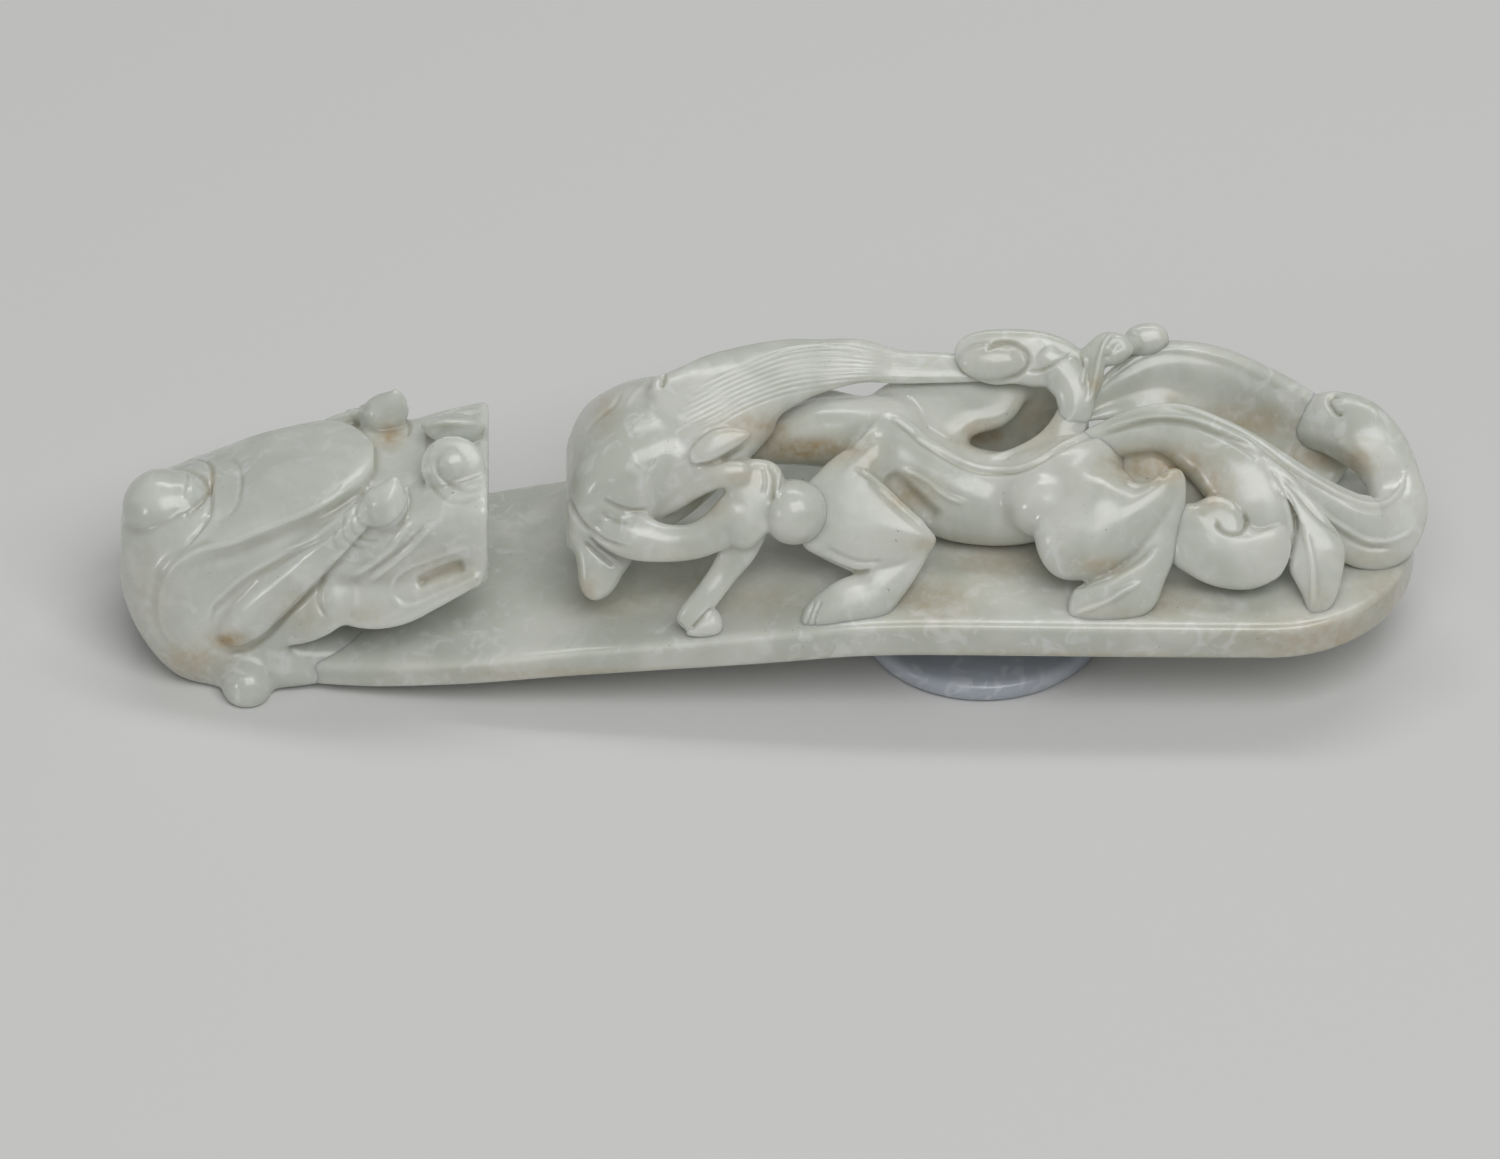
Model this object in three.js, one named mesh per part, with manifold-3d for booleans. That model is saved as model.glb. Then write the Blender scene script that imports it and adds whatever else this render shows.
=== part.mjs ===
// A jade belt hook: an arched tongue with a button under it, a dragon head turned back over its left end,
// and an openwork chilong on top. Millimetres, +X to the broad end, +Z up, origin at the middle of the foot.
import * as THREE from 'three';
import { mergeVertices } from 'three/addons/utils/BufferGeometryUtils.js';
import Module from 'manifold-3d';

const wasm = await Module();
wasm.setup();

// Driving dimensions of the whole hook
const overallLength = 120;
const tongueWidth = 28;
const tongueThickness = 4.9;
const archRise = 6.4;
const reliefHeight = 16;
const hookLength = 34;
const hookWidth = 17.2;
const hookHeight = 19.5;
const seam = 0.3;

// The button and its stem
const buttonRadius = 11.5;
const buttonThickness = 2;
const buttonFromEnd = 40.3;
const stemRadius = 5.5;

// The dragon head
const crownWidth = 13.4;
const crownThickness = 2.6;
const napeRadius = 4;
const eyeRadius = 2;
const hornThickness = 4.2;
const nostrilRadius = 2.5;
const jawThickness = 4.6;
const knobRadius = 2.2;

// The chilong's limbs, each at its thickest
const headWidth = 14.6;
const headDepth = 13.2;
const bodyThickness = 8.4;
const maneWidth = 6.4;
const earWidth = 3.4;
const tuftWidth = 5;
const forelegThickness = 3.4;
const pawRadius = 1.6;
const ballRadius = 3;
const thighThickness = 7.4;
const shankThickness = 5.6;
const neckThickness = 7.2;
const haunchThickness = 7.6;
const bandThickness = 6.6;
const curlRadius = 4.9;
const curlThickness = 5.4;
const strandThickness = 6.4;
const branchDepth = 11.6;
const lobeRadius = 3.4;
const leafWidth = 5.6;

// The curls over the back
const scrollRadius = 6;
const scrollThickness = 3.6;
const cloudStemThickness = 3.4;
const sprigThickness = 2.8;
const cloudKnobRadius = 1.7;

// Places along the hook are shares of its length, from the left end
const leftEnd = -overallLength / 2;
const buttonX = overallLength / 2 - buttonFromEnd;
const upward = new THREE.Vector3(0, 0, 1);
const nearward = new THREE.Vector3(0, -1, 0);
const rightward = new THREE.Vector3(1, 0, 0);
const nearAndUp = new THREE.Vector3(0, -1, 1).normalize();

// Reads a table of [place share, value share] rows at any place, straight between its rows
function readShares(rows, place) {
  const last = rows.length - 1;
  if (place <= rows[0][0]) return rows[0][1];
  for (let i = 0; i < last; i += 1) {
    const [from, low] = rows[i];
    const [to, high] = rows[i + 1];
    if (place <= to) return low + ((place - from) / (to - from)) * (high - low);
  }
  return rows[last][1];
}

// The tongue's underside over the foot plane, and its half width, along its length
const tongueStartShare = 0.09;
const tongueRoundShare = 0.885;
const tongueEndShare = 0.996;
const underRiseShares = [
  [0.13, 0], [0.19, 0.08], [0.25, 0.26], [0.32, 0.46], [0.4, 0.63],
  [0.5, 0.82], [0.56, 0.95], [0.6, 0.99], [0.64, 1],
];
const thicknessShares = [
  [0.09, 0.85], [0.19, 0.8], [0.27, 0.73], [0.36, 0.78], [0.5, 0.92], [0.6, 1],
];
const halfWidthShares = [
  [0.09, 0.68], [0.13, 0.71], [0.19, 0.77], [0.27, 0.87], [0.36, 0.91], [0.5, 0.95], [0.6, 0.97], [0.8, 1],
];
const tongueUnder = (share) => archRise * readShares(underRiseShares, share);
const tongueDepth = (share) => tongueThickness * readShares(thicknessShares, share);
const tongueTop = (share) => tongueUnder(share) + tongueDepth(share);
const tongueHalfWidth = (share) => (tongueWidth / 2) * readShares(halfWidthShares, share);
const alongX = (share) => leftEnd + share * overallLength;

// A place over the tongue: shares of the length, of the half width and of the relief over its top
function overTongue(along, across, up) {
  return new THREE.Vector3(
    alongX(along),
    (across * tongueWidth) / 2,
    tongueTop(along) + up * reliefHeight,
  );
}

// A place on the dragon head: shares of its length, of its half width and of its height
function onHook(along, across, up) {
  return new THREE.Vector3(leftEnd + along * hookLength, (across * hookWidth) / 2, up * hookHeight);
}

// A place beside the chilong's head: over the tongue, but across in shares of the head's half width
function besideHead(along, across, up) {
  const point = overTongue(along, 0, up);
  point.y = (across * headWidth) / 2;
  return point;
}

// One closed surface through rings of equal count, with a point closing each end
function skin(rings, startPole, endPole) {
  const sides = rings[0].length;
  const positions = [...rings.flat(), startPole, endPole].flatMap((point) => point.toArray());
  const startIndex = rings.length * sides;
  const faces = [];
  for (let j = 0; j < sides; j += 1) {
    const next = (j + 1) % sides;
    const lastRing = (rings.length - 1) * sides;
    faces.push(startIndex, j, next);
    faces.push(startIndex + 1, lastRing + next, lastRing + j);
    for (let i = 0; i < rings.length - 1; i += 1) {
      const ring = i * sides;
      faces.push(ring + j, ring + sides + j, ring + next);
      faces.push(ring + next, ring + sides + j, ring + sides + next);
    }
  }
  const geometry = new THREE.BufferGeometry();
  geometry.setAttribute('position', new THREE.Float32BufferAttribute(positions, 3));
  geometry.setIndex(faces);
  return geometry;
}

// A ring of a round section, flattened towards its face, square to the way the limb runs
function ringAt(centre, tangent, face, halfWidth, halfDepth, sides) {
  const side = new THREE.Vector3().crossVectors(tangent, face).normalize();
  const outward = new THREE.Vector3().crossVectors(side, tangent).normalize();
  return Array.from({ length: sides }, (_, j) => {
    const angle = (j / sides) * Math.PI * 2;
    return centre.clone()
      .addScaledVector(side, halfWidth * Math.cos(angle))
      .addScaledVector(outward, halfDepth * Math.sin(angle));
  });
}

// A carved limb: rows of [along, across, up, size] shares joined by a smooth path, round at both ends
function limb(rows, width, { place = overTongue, face = upward, flatness = 1, sides = 8, steps = 2 } = {}) {
  return (grow) => {
    const places = rows.map(([along, across, up]) => place(along, across, up));
    const path = new THREE.CatmullRomCurve3(places, false, 'centripetal');
    const spans = rows.length - 1;
    const sizeShares = rows.map((row, i) => [i / spans, row[3]]);
    const halfWidthAt = (t) => (width / 2) * readShares(sizeShares, t);
    const section = (centre, tangent, t, narrowing) => ringAt(
      centre, tangent, face,
      (halfWidthAt(t) + grow) * narrowing,
      (halfWidthAt(t) * flatness + grow) * narrowing,
      sides,
    );
    const roundEnd = (t, way) => {
      const reach = halfWidthAt(t) * flatness + grow;
      const tangent = path.getTangent(t);
      const step = (angle) => path.getPoint(t).addScaledVector(tangent, way * reach * Math.sin(angle));
      const ring = section(step(Math.PI / 4), tangent, t, Math.cos(Math.PI / 4));
      return { ring, pole: step(Math.PI / 2) };
    };
    const start = roundEnd(0, -1);
    const end = roundEnd(1, 1);
    const middle = Array.from({ length: spans * steps + 1 }, (_, i) => {
      const t = i / (spans * steps);
      return section(path.getPoint(t), path.getTangent(t), t, 1);
    });
    return solidOf(skin([start.ring, ...middle, end.ring], start.pole, end.pole));
  };
}

// A rounded boss: an egg with three half sizes, its third one pointing along its face
function boss(centre, halfSizes, face = upward, sides = 10) {
  return (grow) => {
    const geometry = new THREE.SphereGeometry(1, sides, sides - 4);
    geometry.rotateX(Math.PI / 2);
    geometry.scale(...halfSizes.map((size) => size + grow));
    geometry.applyQuaternion(new THREE.Quaternion().setFromUnitVectors(upward, face));
    geometry.translate(...centre.toArray());
    return solidOf(geometry);
  };
}

// A closed geometry becomes a solid once its doubled points are merged
function solidOf(geometry) {
  const bare = geometry.clone();
  bare.deleteAttribute('normal');
  bare.deleteAttribute('uv');
  const merged = mergeVertices(bare);
  return new wasm.Manifold(new wasm.Mesh({
    numProp: 3,
    vertProperties: new Float32Array(merged.attributes.position.array),
    triVerts: new Uint32Array(merged.index.array),
  }));
}

function geometryOf(solid) {
  const mesh = solid.getMesh();
  const geometry = new THREE.BufferGeometry();
  geometry.setAttribute('position', new THREE.BufferAttribute(new Float32Array(mesh.vertProperties), 3));
  geometry.setIndex(new THREE.BufferAttribute(new Uint32Array(mesh.triVerts), 1));
  geometry.computeVertexNormals();
  return geometry;
}

// An upright ring across the hook from its near side over the top to the far side and back underneath:
// the shares give a quarter of it above and a quarter below, and the taper narrows it upwards
function blockRing(centre, halfWidth, halfDepth, topShares, underShares = topShares, taperShare = 0) {
  const nearTop = topShares.map(([y, z]) => [-y, z]);
  const farTop = topShares.slice(0, -1).reverse();
  const farUnder = underShares.slice(1).map(([y, z]) => [y, -z]);
  const nearUnder = underShares.slice(1, -1).reverse().map(([y, z]) => [-y, -z]);
  return [...nearTop, ...farTop, ...farUnder, ...nearUnder].map(([y, z]) => new THREE.Vector3(
    centre.x,
    centre.y + y * halfWidth * (1 - taperShare * z),
    centre.z + z * halfDepth,
  ));
}

function middleOf(ring) {
  return ring.reduce((sum, point) => sum.add(point), new THREE.Vector3()).divideScalar(ring.length);
}

// The tongue: flat sections with softened edges, narrowing in a half round at the broad end
const topEdgeShares = [[1, 0], [0.985, 0.5], [0.93, 0.8], [0.6, 0.95], [0, 1]];
const underEdgeShares = [[1, 0], [0.99, 0.6], [0.96, 0.9], [0.7, 1], [0, 1]];
const tongueStationShares = [0.09, 0.13, 0.19, 0.25, 0.32, 0.4, 0.5, 0.6, 0.67, 0.8];
const roundStationShares = [0, 0.35, 0.6, 0.78, 0.9, 0.97];

function tongueSection(share, widthShare, grow) {
  const halfWidth = tongueHalfWidth(share) * widthShare + grow;
  const middle = new THREE.Vector3(alongX(share), 0, tongueUnder(share) + tongueDepth(share) / 2);
  return blockRing(middle, halfWidth, tongueDepth(share) / 2 + grow, topEdgeShares, underEdgeShares);
}

function tongue(grow) {
  const straight = tongueStationShares.map((share) => tongueSection(share, 1, grow));
  const rounded = roundStationShares.map((turn) => {
    const share = tongueRoundShare + turn * (tongueEndShare - tongueRoundShare);
    return tongueSection(share, Math.sqrt(1 - turn * turn), grow);
  });
  const middleAt = (share, beyond) => new THREE.Vector3(
    alongX(share) + beyond, 0, tongueUnder(share) + tongueDepth(share) / 2,
  );
  return solidOf(skin(
    [...straight, ...rounded], middleAt(tongueStartShare, -grow), middleAt(tongueEndShare, grow),
  ));
}

// The button: a thin disc with a rounded rim and a flat face to rest on
const rimShares = [[0, 0], [0.87, 0], [0.97, 0.2], [1, 0.5], [0.97, 0.8], [0.85, 1], [0, 1]];

function button(grow) {
  const profile = rimShares.map(([out, up]) => new THREE.Vector2(
    out * buttonRadius + (out > 0 ? grow : 0),
    up * (buttonThickness + 2 * grow) - grow,
  ));
  const geometry = new THREE.LatheGeometry(profile, 32);
  geometry.rotateX(Math.PI / 2);
  geometry.translate(buttonX, 0, 0);
  return solidOf(geometry);
}

function buttonStem(grow) {
  const height = archRise + tongueThickness / 2;
  const geometry = new THREE.CylinderGeometry(stemRadius + grow, stemRadius + grow, height, 20);
  geometry.rotateX(Math.PI / 2);
  geometry.translate(buttonX, 0, height / 2);
  return solidOf(geometry);
}

// A block lofted along the hook, its two end rings moved out by what it grows
function blockLoft(rows, ringOf) {
  return (grow) => {
    const rings = rows.map((row, i) => {
      const outermost = i === 0 ? -1 : Number(i === rows.length - 1);
      return ringOf(row, grow, outermost * grow);
    });
    return solidOf(skin(rings, middleOf(rings[0]), middleOf(rings[rings.length - 1])));
  };
}

// The hook's neck and head: rows of [along, middle height, half width, half depth] shares
const neckTaperShare = 0.22;
const neckShares = [
  [0, 0.5, 0.5, 0.14], [0.03, 0.47, 0.72, 0.24], [0.1, 0.42, 0.95, 0.34], [0.2, 0.39, 1.1, 0.39],
  [0.32, 0.42, 1.12, 0.42], [0.45, 0.45, 1.1, 0.45], [0.57, 0.47, 1, 0.46],
];
const hookHeadShares = [
  [0.45, 0.71, 0.85, 0.18], [0.54, 0.73, 0.95, 0.2], [0.65, 0.74, 0.97, 0.205],
  [0.77, 0.755, 0.95, 0.215], [0.88, 0.79, 0.96, 0.255], [1, 0.82, 0.98, 0.27],
];
const roundBlockShares = [[1, 0], [0.95, 0.5], [0.78, 0.8], [0.45, 0.96], [0, 1]];
const sharpBlockShares = [[1, 0], [0.98, 0.7], [0.92, 0.9], [0.6, 0.98], [0, 1]];

function hookRing(blockShares, taperShare) {
  return ([along, height, width, depth], grow, beyond) => {
    const centre = onHook(along, 0, height);
    centre.x += beyond;
    return blockRing(
      centre, (width * hookWidth) / 2 + grow, depth * hookHeight + grow, blockShares, blockShares, taperShare,
    );
  };
}

const hookNeck = blockLoft(neckShares, hookRing(roundBlockShares, neckTaperShare));
const hookHead = blockLoft(hookHeadShares, hookRing(sharpBlockShares, 0));

// Rows of the dragon head's limbs, on its near side; the far side mirrors them
const crownShares = [
  [0.2, 0, 0.78, 0.5], [0.32, 0, 0.88, 0.88], [0.45, 0, 0.94, 1], [0.57, 0, 0.97, 0.95], [0.67, 0, 0.98, 0.6],
];
const hornShares = [
  [0.7, -1.02, 0.96, 0.65], [0.56, -1.1, 0.74, 0.8], [0.42, -1.16, 0.52, 0.95], [0.32, -1.18, 0.38, 1],
];
const jawShares = [
  [0.93, -0.8, 0.62, 0.75], [0.82, -0.9, 0.52, 0.95], [0.71, -0.93, 0.45, 1], [0.62, -0.9, 0.46, 0.9],
];
const mirrored = (rows) => rows.map(([along, across, up, size]) => [along, -across, up, size]);

const napeShare = [0.12, -0.05, 0.76];
const eyeShare = [0.72, 0.9, 1.05];
const nostrilShare = [0.56, 1.02];
const nostrilSetbackShare = 1.24;
const neckKnobAlongShare = 0.34;
const neckKnobOutShare = 0.57;

// The chilong's head: rows of [along, across, up, half width, half depth] shares, blunt in front
const chilongHeadShares = [
  [0.343, 0, 0.52, 0.8, 0.5], [0.358, 0.02, 0.61, 0.95, 0.82], [0.385, 0.05, 0.68, 1, 1],
  [0.415, 0.08, 0.7, 0.98, 0.98], [0.445, 0.12, 0.71, 0.85, 0.85], [0.472, 0.18, 0.72, 0.62, 0.62],
  [0.492, 0.22, 0.7, 0.36, 0.36],
];

function chilongHeadRing([along, across, up, width, depth], grow, beyond) {
  const centre = overTongue(along, across, up);
  centre.x += beyond;
  return blockRing(
    centre, (width * headWidth) / 2 + grow, (depth * headDepth) / 2 + grow, roundBlockShares,
  );
}

const chilongHead = blockLoft(chilongHeadShares, chilongHeadRing);

// Rows of the chilong's limbs over the tongue
const bodyShares = [
  [0.555, 0.14, 0.58, 0.85], [0.59, 0.1, 0.54, 1.02], [0.635, 0.03, 0.4, 1.05],
  [0.675, -0.03, 0.29, 1], [0.715, -0.02, 0.28, 1], [0.75, 0.06, 0.36, 0.95], [0.785, 0.12, 0.46, 0.85],
];
const maneShares = [
  [0.41, 0.33, 0.84, 1.1], [0.445, 0.38, 0.86, 1.3], [0.5, 0.48, 0.91, 1.1], [0.56, 0.54, 0.93, 0.85],
  [0.6, 0.54, 0.92, 0.75], [0.64, 0.51, 0.86, 0.7], [0.685, 0.45, 0.78, 0.6],
];
const earShares = [[0.44, -0.57, 0.88, 0.6], [0.455, -0.46, 0.95, 1], [0.475, -0.23, 0.97, 0.7]];
const chinShares = [
  [0.374, -0.73, 0.42, 1], [0.367, -0.84, 0.28, 0.85], [0.362, -0.84, 0.12, 0.6], [0.362, -0.81, 0.03, 0.3],
];
const foreStemShares = [
  [0.36, -0.46, 0.46, 0.8], [0.4, -0.57, 0.47, 0.9], [0.45, -0.57, 0.49, 1], [0.477, -0.38, 0.6, 1.05],
  [0.49, -0.18, 0.7, 1.1],
];
const foreStrutShares = [
  [0.478, -0.42, 0.54, 1], [0.465, -0.64, 0.36, 0.9], [0.447, -0.77, 0.18, 0.9], [0.438, -0.82, 0.06, 1],
];
const pawShare = [0.453, -0.83, 0.1];
const ballShare = [0.519, -0.44, 0.52];
const thighShares = [
  [0.54, -0.32, 0.5, 0.95], [0.57, -0.42, 0.46, 1], [0.6, -0.52, 0.4, 0.8], [0.624, -0.59, 0.35, 0.3],
];
const lowerForelegShares = [
  [0.612, -0.6, 0.31, 0.7], [0.594, -0.7, 0.19, 1], [0.575, -0.77, 0.11, 0.95], [0.552, -0.82, 0.07, 0.7],
  [0.535, -0.84, 0.05, 0.5],
];
const chilongNeckShares = [[0.49, 0.24, 0.64, 0.75], [0.52, 0.31, 0.63, 1], [0.552, 0.24, 0.6, 0.7]];
const haunchShares = [
  [0.738, -0.5, 0.3, 1], [0.765, -0.5, 0.36, 1], [0.79, -0.42, 0.46, 0.75], [0.811, -0.3, 0.6, 0.35],
];
const hindShankShares = [
  [0.81, -0.42, 0.46, 0.6], [0.806, -0.56, 0.3, 0.9], [0.795, -0.69, 0.17, 1], [0.775, -0.78, 0.1, 0.95],
  [0.75, -0.82, 0.06, 0.7],
];
const tailBandShares = [
  [0.785, 0.12, 0.46, 0.75], [0.825, 0.06, 0.5, 1], [0.865, -0.1, 0.43, 1], [0.885, -0.32, 0.31, 0.95],
  [0.88, -0.5, 0.22, 0.8],
];
const curlShare = [0.857, -0.5, 0.25];
const nearStrandShares = [
  [0.8, 0.16, 0.6, 0.4], [0.85, 0.12, 0.61, 0.6], [0.885, 0, 0.48, 0.7], [0.915, -0.14, 0.35, 0.9],
  [0.943, -0.24, 0.24, 1.05], [0.965, -0.14, 0.18, 1], [0.9775, 0.08, 0.2, 0.9],
];
const farStrandShares = [
  [0.974, 0.12, 0.22, 0.6], [0.976, 0.3, 0.28, 0.9], [0.965, 0.44, 0.34, 0.8],
];
const lobeShare = [0.94, 0.57, 0.43];
const branchShares = [
  [0.778, 0.66, 0.62, 0.7], [0.82, 0.7, 0.56, 1], [0.865, 0.7, 0.42, 1], [0.905, 0.68, 0.28, 0.9],
];
const leafShares = [
  [0.893, -0.26, 0.42, 0.6], [0.903, -0.46, 0.34, 0.9], [0.915, -0.7, 0.2, 1], [0.924, -0.85, 0.07, 0.45],
];

// Rows of the curls over the back
const scrollShare = [0.69, 0.52, 0.91];
const scrollAcrossShare = 0.75;
const cloudStemShares = [
  [0.715, 0.47, 0.84, 0.9], [0.736, 0.36, 0.7, 1], [0.736, 0.22, 0.56, 1], [0.725, 0.1, 0.44, 1.1],
];
const sprigShares = [
  [0.738, 0.22, 0.6, 1], [0.744, 0.42, 0.8, 1], [0.756, 0.58, 0.92, 0.9], [0.78, 0.68, 0.95, 0.8],
];
const cloudKnobShare = [0.791, 0.72, 0.95];

// Every node and its form, the ones that keep their whole shape first
const flatLimbShare = 0.55;
const bandLimbShare = 0.4;
const mirrorPlace = ([along, across, up], side) => onHook(along, across * side, up);
const nostrilPlace = (side) => {
  const point = onHook(1, nostrilShare[0] * side, nostrilShare[1]);
  point.x -= nostrilSetbackShare * nostrilRadius;
  return point;
};
const neckKnobPlace = (side) => {
  const point = onHook(neckKnobAlongShare, 0, 0);
  const tongueEdge = tongueHalfWidth((point.x - leftEnd) / overallLength);
  return new THREE.Vector3(point.x, side * (tongueEdge + neckKnobOutShare * knobRadius), knobRadius);
};
const roundOf = (radius) => [radius, radius, radius];

const tongueForms = {
  tongue,
  button,
  button_stem: buttonStem,
};

const hookForms = {
  nape_curl: boss(onHook(...napeShare), roundOf(napeRadius)),
};
for (const [name, side] of [['near', -1], ['far', 1]]) {
  const rowsOf = (rows) => (side < 0 ? rows : mirrored(rows));
  const alongHead = { place: onHook, face: nearward };
  hookForms[`${name}_eye`] = boss(mirrorPlace(eyeShare, side), roundOf(eyeRadius));
  hookForms[`${name}_nostril`] = boss(nostrilPlace(side), roundOf(nostrilRadius));
  hookForms[`${name}_horn`] = limb(rowsOf(hornShares), hornThickness, alongHead);
  hookForms[`${name}_jaw`] = limb(rowsOf(jawShares), jawThickness, alongHead);
  hookForms[`${name}_neck_knob`] = boss(neckKnobPlace(side), roundOf(knobRadius));
}
hookForms.crown_plate = limb(crownShares, crownWidth, {
  place: onHook, flatness: crownThickness / crownWidth, sides: 14,
});
hookForms.hook_head = hookHead;
hookForms.hook_neck = hookNeck;

const chilongForms = {
  near_ear: limb(earShares, earWidth, { place: besideHead, face: nearAndUp, flatness: flatLimbShare }),
  chin_tuft: limb(chinShares, tuftWidth, { place: besideHead, face: nearward, flatness: flatLimbShare }),
  shoulder_ball: boss(overTongue(...ballShare), roundOf(ballRadius)),
  trailing_upper_foreleg: limb(thighShares, thighThickness),
  trailing_lower_foreleg: limb(lowerForelegShares, shankThickness),
  leading_foreleg: (grow) => limb(foreStemShares, forelegThickness)(grow)
    .add(limb(foreStrutShares, forelegThickness, { face: rightward })(grow)),
  leading_paw: boss(overTongue(...pawShare), roundOf(pawRadius)),
  chilong_neck: limb(chilongNeckShares, neckThickness),
  hind_thigh: limb(haunchShares, haunchThickness),
  hind_shank: limb(hindShankShares, shankThickness, { face: rightward }),
  chilong_head: chilongHead,
  mane: limb(maneShares, maneWidth, { face: nearAndUp, flatness: flatLimbShare, sides: 12 }),
  body: limb(bodyShares, bodyThickness, { sides: 12 }),
};

const tailForms = {
  tail_curl: boss(overTongue(...curlShare), [curlRadius, curlRadius, curlThickness / 2], nearAndUp),
  tail_band: limb(tailBandShares, bandThickness),
  leaf_tuft: limb(leafShares, leafWidth, { face: nearward, flatness: flatLimbShare }),
  tail_near_strand: limb(nearStrandShares, strandThickness),
  far_tail_lobe: boss(overTongue(...lobeShare), roundOf(lobeRadius)),
  tail_far_strand: limb(farStrandShares, strandThickness),
  far_branch: limb(branchShares, branchDepth, { face: nearward, flatness: bandLimbShare, sides: 12 }),
};

const cloudForms = {
  cloud_scroll: boss(
    overTongue(...scrollShare),
    [scrollRadius, scrollRadius * scrollAcrossShare, scrollThickness / 2],
  ),
  cloud_stem: limb(cloudStemShares, cloudStemThickness, { face: rightward }),
  cloud_sprig: limb(sprigShares, sprigThickness, { face: rightward }),
  cloud_knob: boss(overTongue(...cloudKnobShare), roundOf(cloudKnobRadius)),
};

// Jade colours: pale celadon, whiter on the carved heads, bluish under the button
const jadeColours = {
  tongue: '#b9c2b6', hook: '#c8cec4', chilong: '#c4c9bd', tail: '#c2c6b6', cloud: '#cbd0c6',
};
const jadeRoughness = 0.22;

// Each form is cut back by the seam round every earlier form that it runs into
const cutters = [];

function largestPiece(solid) {
  return solid.decompose().reduce((best, piece) => (piece.volume() > best.volume() ? piece : best));
}

function carvedGroup(name, forms) {
  const group = new THREE.Group();
  for (const [node, form] of Object.entries(forms)) {
    const cut = cutters.reduce((solid, cutter) => solid.subtract(cutter), form(0));
    const material = new THREE.MeshStandardMaterial({
      color: jadeColours[name], roughness: jadeRoughness, metalness: 0,
    });
    const mesh = new THREE.Mesh(geometryOf(largestPiece(cut)), material);
    mesh.name = node;
    group.add(mesh);
    cutters.push(form(seam));
  }
  return group;
}

const beltHook = new THREE.Group();
beltHook.add(carvedGroup('tongue', tongueForms));
beltHook.add(carvedGroup('hook', hookForms));
beltHook.add(carvedGroup('chilong', chilongForms));
beltHook.add(carvedGroup('tail', tailForms));
beltHook.add(carvedGroup('cloud', cloudForms));

export default beltHook;
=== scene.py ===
import math

import bmesh
import bpy
import numpy as np
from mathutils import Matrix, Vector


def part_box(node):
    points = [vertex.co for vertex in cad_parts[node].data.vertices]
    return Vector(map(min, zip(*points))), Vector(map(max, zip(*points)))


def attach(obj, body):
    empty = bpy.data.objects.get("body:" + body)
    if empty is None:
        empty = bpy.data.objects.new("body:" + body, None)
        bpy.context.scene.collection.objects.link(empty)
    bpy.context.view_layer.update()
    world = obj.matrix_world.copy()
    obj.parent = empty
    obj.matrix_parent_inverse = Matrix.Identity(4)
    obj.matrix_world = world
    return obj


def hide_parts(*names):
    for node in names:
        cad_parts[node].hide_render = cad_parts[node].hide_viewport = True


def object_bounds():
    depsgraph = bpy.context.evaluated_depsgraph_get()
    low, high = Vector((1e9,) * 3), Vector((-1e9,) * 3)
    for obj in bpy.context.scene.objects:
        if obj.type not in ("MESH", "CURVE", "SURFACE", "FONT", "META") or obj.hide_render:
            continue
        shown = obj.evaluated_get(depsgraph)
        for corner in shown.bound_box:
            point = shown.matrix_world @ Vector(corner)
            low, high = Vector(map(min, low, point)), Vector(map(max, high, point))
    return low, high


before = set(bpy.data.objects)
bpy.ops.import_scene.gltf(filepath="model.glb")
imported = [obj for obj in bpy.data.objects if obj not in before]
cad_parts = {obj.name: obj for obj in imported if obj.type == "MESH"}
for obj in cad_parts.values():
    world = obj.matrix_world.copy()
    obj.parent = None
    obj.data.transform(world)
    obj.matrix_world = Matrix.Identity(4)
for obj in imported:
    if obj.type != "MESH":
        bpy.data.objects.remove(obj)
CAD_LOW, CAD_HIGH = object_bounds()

# The camera
# It stands straight in front of the hook's long side and 40 degrees above it, four metres off with a long
# lens. It sees the hook almost without perspective, so a detail's place can be given by its pixel.
MM = 0.001
PHOTO_WIDTH = 1500
PHOTO_HEIGHT = 1159
PIXELS_PER_MM = 10.82
ORIGIN_PIXEL = (770, 624)
ELEVATION = math.radians(40)
CAMERA_DISTANCE = 4000
RELIEF_DEPTH = 8
SENSOR_WIDTH = 36

TO_CAMERA = np.array([0, -math.cos(ELEVATION), math.sin(ELEVATION)])
PICTURE_UP = np.array([0, math.sin(ELEVATION), math.cos(ELEVATION)])


def in_photo(points):
    """Pixel places of points in millimetres: X runs across the picture, and the distance along the
    picture's own up direction runs up it."""
    across = ORIGIN_PIXEL[0] + PIXELS_PER_MM * points[:, 0]
    down = ORIGIN_PIXEL[1] - PIXELS_PER_MM * (points @ PICTURE_UP)
    return np.stack([across, down], axis=1)


camera_data = bpy.data.cameras.new("camera")
camera_data.sensor_width = SENSOR_WIDTH
camera_data.lens = SENSOR_WIDTH * CAMERA_DISTANCE * PIXELS_PER_MM / PHOTO_WIDTH
camera = bpy.data.objects.new("camera", camera_data)
bpy.context.scene.collection.objects.link(camera)
aim_across = (PHOTO_WIDTH / 2 - ORIGIN_PIXEL[0]) / PIXELS_PER_MM
aim_up = (ORIGIN_PIXEL[1] - PHOTO_HEIGHT / 2) / PIXELS_PER_MM
aim = np.array([aim_across, 0, 0]) + aim_up * PICTURE_UP + RELIEF_DEPTH * TO_CAMERA
camera.location = (aim + CAMERA_DISTANCE * TO_CAMERA) * MM
camera.rotation_euler = (math.pi / 2 - ELEVATION, 0, 0)
bpy.context.scene.camera = camera
bpy.context.scene.view_settings.view_transform = "Standard"

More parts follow.
